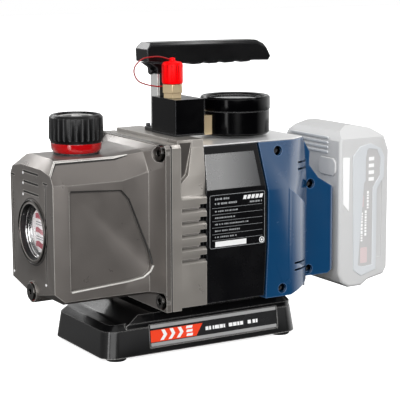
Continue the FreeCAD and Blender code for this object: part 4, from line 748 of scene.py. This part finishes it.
def hoop(name, along, radius, thick, slot, finish):
    """Round ring about the axis of the oil glass."""
    work = bmesh.new()
    around, across = 80, 12
    rows = []
    for i in range(around):
        turn = 2 * math.pi * i / around
        row = []
        for j in range(across):
            bend = 2 * math.pi * j / across
            out = radius + thick * math.cos(bend)
            row.append(work.verts.new(((along + thick * math.sin(bend)) * MM,
                                       (out * math.cos(turn) + SIGHT_SIDE) * MM,
                                       (out * math.sin(turn) + SIGHT_UP) * MM)))
        rows.append(row)
    for row, following in zip(rows, rows[1:] + rows[:1]):
        for j in range(across):
            k = (j + 1) % across
            work.faces.new((row[j], row[k], following[k], following[j]))
    bmesh.ops.recalc_face_normals(work, faces=work.faces)
    mesh = mesh_of(work, name)
    mesh.shade_smooth()
    new_piece(name, mesh, "pump", slot, finish=finish)


def ribbon(name, stations, slot, finish):
    """Thin strip on both sides through stations: upper line, lower line, outward way, height."""
    work = bmesh.new()
    sunk = -0.5
    for sign in (-1, 1):
        rows = []
        for upper, lower, out, proud in stations:
            row = []
            for point, lift in ((upper, proud), (lower, proud), (lower, sunk), (upper, sunk)):
                row.append(work.verts.new((point[0] * MM, sign * (point[1] + lift * out[0]) * MM,
                                           (point[2] + lift * out[1]) * MM)))
            rows.append(row)
        for near, far in zip(rows, rows[1:]):
            for j in range(4):
                work.faces.new((near[j], near[(j + 1) % 4], far[(j + 1) % 4], far[j]))
        work.faces.new(rows[0])
        work.faces.new(rows[-1][::-1])
    bmesh.ops.recalc_face_normals(work, faces=work.faces)
    round_off(new_piece(name, mesh_of(work, name), "pump", slot, finish=finish), 0.25)


def skin_of(name):
    """Search tree over one CAD piece's own mesh."""
    node = frame["nodes"][name]
    spots = [node.matrix_world @ vertex.co for vertex in node.data.vertices]
    return BVHTree.FromPolygons(spots, [tuple(face.vertices) for face in node.data.polygons])


TANK_SKIN = skin_of("oil_tank")


def tank_wall(along, up):
    """How far out the tank's side wall stands at one place, in millimetres."""
    spot = TANK_SKIN.ray_cast(Vector((along * MM, -0.2, up * MM)), Vector((0, 1, 0)))[0]
    return -spot.y / MM


def build_bracket_shade():
    """Dark sheet on the bracket's corner facet as painted shade, on both sides."""
    for tag, side in (("near", near_side), ("far", far_side)):
        facet = Sheet(side(-55.7), -0.1, 0.5)
        facet.shape([(-57.8, 154.6), (-53.6, 159), (-47.4, 185.6), (-58.6, 185.6)])
        facet.finish("bracket_shade_" + tag, "pump", "bracket_paint", "bracket_shade")


def build_deck_edges():
    """Painted highlight along the crest at both edges of the deck, and a painted shade line under
    it.
    """
    # along, across, up, the way down the side, and the share of the full width
    edges = ((-171.9, 38.6, 164.2, (0.56, -0.83), 1.0),
             (-163.5, 29, 174.2, (0.683, -0.731), 1.0),
             (-108.5, 29, 174.2, (0.683, -0.731), 0.9),
             (-97, 32.8, 176.1, (0.66, -0.75), 0.3))
    inward, outward = (-0.98, 0.196), (0.5, 0.86)
    crest, shade = [], []
    for along, across, up, down, share in edges:
        top, rim, foot = [(along, across + reach * share * way[0], up + reach * share * way[1])
                          for reach, way in ((2.1, inward), (1.5, down), (3.7, down))]
        crest.append((top, rim, outward, 0.42))
        shade.append((rim, foot, (-down[1], down[0]), 0.07))
    ribbon("deck_crest", crest, "tank_paint", "painted_highlight_pale")
    ribbon("deck_shade", shade, "tank_paint", "painted_shade_grey")


def build_face_grooves():
    """Dark sheets on the floors of the grooves in the front of the tank, as painted shade."""
    grooves = Sheet(tank_face, 0.3, 1.35)
    for across in (-28.4, 38.6):
        grooves.bar(across - 0.95, across + 0.95, 70.1, 155.5)
        grooves.bar(across - 4.5, across + 4.5, 155.7, 156.9)
    for up in (162, 153.2, 144.4):
        grooves.bar(-14.9, 16.4, up - 0.8, up + 0.8)
    grooves.finish("tank_groove_shade", "pump", "tank_paint", "painted_shade_grey")


def build_pocket_edges():
    """Painted highlight along the lower lip and painted shade along the upper edge of the pocket
    in each side of the tank.
    """
    lip_wide, shade_wide = 1.3, 1.4
    flat = (1, 0)
    lip, shade = [], []
    # along, up, and how much of the width runs back and down
    for along, up, back, fall in ((-157.6, 65.7, 0.05, 1), (-103, 69.2, 0.05, 1),
                                  (-90, 71.2, 0.3, 1), (-84.2, 75.7, 0.75, 0.75),
                                  (-82.9, 81, 1, 0.1)):
        inner = (along, tank_wall(along + 0.7, up - 0.6), up)
        outer_along, outer_up = along + lip_wide * back, up - lip_wide * fall
        outer = (outer_along, tank_wall(outer_along, outer_up), outer_up)
        lip.append((inner, outer, flat, 0.3))
    # along, up, and how much of the width runs back; the rest runs up
    for along, up, back in ((-157.6, 150.2, 0.05), (-110.2, 147.7, 0.4), (-103.3, 139.8, 0.85),
                            (-86.4, 96.8, 1), (-83.4, 82, 1)):
        inner = (along, tank_wall(along + 0.7, up + 0.6), up)
        outer_along, outer_up = along + shade_wide * back, up + shade_wide * (1.1 - back)
        outer = (outer_along, tank_wall(outer_along, outer_up), outer_up)
        shade.append((outer, inner, flat, 0.06))
    ribbon("pocket_lip", lip, "tank_paint", "painted_highlight_pale")
    ribbon("pocket_shade", shade, "tank_paint", "painted_shade_grey")


def build_sight_rings():
    """Steel bead on the lip of the oil glass and the bright ring inside it."""
    hoop("sight_lip_bead", -173.75, 27.1, 0.6, "tank_paint", "screw_steel")
    hoop("sight_chrome_ring", -168.6, 23.2, 0.6, "sight_ring", "sight_ring")


build_label()
build_sight_surround()
build_deck_edges()
build_face_grooves()
build_pocket_edges()
build_sight_rings()
build_bracket_shade()
build_badge()
build_dial()
build_tank_marks()
build_cap_emblem()
build_pack_details()
build_card_bands()


# ---------------------------------------------------------------- camera, floor and light

def add_camera():
    """Long lens that looks along +X and +Y and a little down."""
    data = bpy.data.cameras.new("photo_view")
    data.lens = 129.6
    data.sensor_width = 36
    camera = bpy.data.objects.new("photo_view", data)
    scene.collection.objects.link(camera)
    forward = Vector((0.5015, 0.8481, -0.1711))
    turn = forward.to_track_quat("-Z", "Y").to_matrix().to_4x4()
    roll = Matrix.Rotation(math.radians(-0.2), 4, "Z")
    camera.matrix_world = Matrix.Translation((-0.6634, -1.1126, 0.348)) @ turn @ roll
    scene.camera = camera


def add_floor():
    """Pale paper floor with a faint glow, kept out of the light that the object receives."""
    work = bmesh.new()
    bmesh.ops.create_grid(work, x_segments=8, y_segments=8, size=6)
    mesh = mesh_of(work, "floor")
    floor = bpy.data.objects.new("floor", mesh)
    scene.collection.objects.link(floor)
    paper = FINISH["floor_paper"].node_tree.nodes["Principled BSDF"]
    paper.inputs["Emission Color"].default_value = (1, 1, 1, 1)
    paper.inputs["Emission Strength"].default_value = 0.8
    mesh.materials.append(FINISH["floor_paper"])
    floor.visible_glossy = False
    floor.visible_diffuse = False


def add_area(name, place, target, size, power):
    """Rectangular soft light at a place, facing a target."""
    data = bpy.data.lights.new(name, "AREA")
    data.shape = "RECTANGLE"
    data.size, data.size_y = size
    data.energy = power
    light = bpy.data.objects.new(name, data)
    scene.collection.objects.link(light)
    aim = (Vector(target) - Vector(place)).to_track_quat("-Z", "Y").to_matrix().to_4x4()
    light.matrix_world = Matrix.Translation(place) @ aim


def add_sun(name, towards, strength, spread):
    """Broad soft light that travels one way."""
    data = bpy.data.lights.new(name, "SUN")
    data.energy = strength
    data.angle = math.radians(spread)
    light = bpy.data.objects.new(name, data)
    scene.collection.objects.link(light)
    light.matrix_world = Vector(towards).to_track_quat("-Z", "Y").to_matrix().to_4x4()


# Grey level of the studio against height, from -1 straight down to 1 straight up.
ROOM_FRONT = ((-1.0, 0.02), (-0.06, 0.02), (0.02, 1.05), (0.2, 1.05), (0.4, 0.15), (0.7, 0.05),
              (1.0, 0.15))
ROOM_BACK = ((-1.0, 0.02), (-0.4, 0.06), (-0.17, 0.3), (0.05, 0.6), (0.25, 0.8), (0.45, 0.5),
             (0.75, 0.25), (1.0, 0.2))
ROOM_RIGHT = ((-1.0, 0.05), (-0.4, 0.5), (-0.1, 2.0), (0.4, 2.0), (1.0, 0.2))


def add_world():
    """White backdrop, and a studio of grey levels for light and mirrors."""
    world = bpy.data.worlds.new("studio")
    world.use_nodes = True
    tree = world.node_tree
    tree.nodes.clear()

    def add(kind, **settings):
        item = tree.nodes.new("ShaderNode" + kind)
        for key, value in settings.items():
            setattr(item, key, value)
        return item

    def ramp(value, stops):
        """Grey level that follows a direction component from -1 to 1."""
        lift = add("MapRange")
        lift.inputs["From Min"].default_value = -1
        tree.links.new(value, lift.inputs["Value"])
        item = add("ValToRGB")
        for spot, grey in stops:
            item.color_ramp.elements.new((spot + 1) / 2).color = (grey, grey, grey, 1)
        item.color_ramp.elements.remove(item.color_ramp.elements[0])
        item.color_ramp.elements.remove(item.color_ramp.elements[-1])
        tree.links.new(lift.outputs["Result"], item.inputs["Fac"])
        return item.outputs["Color"]

    out = add("OutputWorld")
    place = add("TexCoord")
    parts = add("SeparateXYZ")
    tree.links.new(place.outputs["Generated"], parts.inputs[0])
    blend = add("Mix", data_type="RGBA")
    tree.links.new(ramp(parts.outputs["Y"], ((-0.3, 0.0), (0.35, 1.0))), blend.inputs[0])
    tree.links.new(ramp(parts.outputs["Z"], ROOM_FRONT), blend.inputs[6])
    tree.links.new(ramp(parts.outputs["Z"], ROOM_BACK), blend.inputs[7])
    side = add("Mix", data_type="RGBA")
    tree.links.new(ramp(parts.outputs["X"], ((0.72, 0.0), (0.95, 1.0))), side.inputs[0])
    tree.links.new(blend.outputs[2], side.inputs[6])
    tree.links.new(ramp(parts.outputs["Z"], ROOM_RIGHT), side.inputs[7])
    room = add("Background")
    tree.links.new(side.outputs[2], room.inputs["Color"])
    room.inputs["Strength"].default_value = 1.0
    white = add("Background")
    white.inputs["Color"].default_value = (1, 1, 1, 1)
    white.inputs["Strength"].default_value = 1.0
    path = add("LightPath")
    choose = add("MixShader")
    tree.links.new(path.outputs["Is Camera Ray"], choose.inputs[0])
    tree.links.new(room.outputs[0], choose.inputs[1])
    tree.links.new(white.outputs[0], choose.inputs[2])
    tree.links.new(choose.outputs[0], out.inputs[0])
    scene.world = world


add_camera()
add_floor()
add_world()
add_sun("key_light", (0.35, 0.8, -0.38), 2.7, 60)
add_area("rear_softbox", (-0.25, 1.2, 0.85), (0, 0, 0.1), (1.2, 0.25), 5)
add_area("left_strip", (-1.3, -0.75, 0.1), (-0.1, 0, 0.1), (0.22, 0.9), 5)
add_area("top_strip", (0.65, 0.0, 1.15), (0, 0, 0.15), (0.6, 0.16), 1.6)
scene.view_settings.view_transform = "Standard"
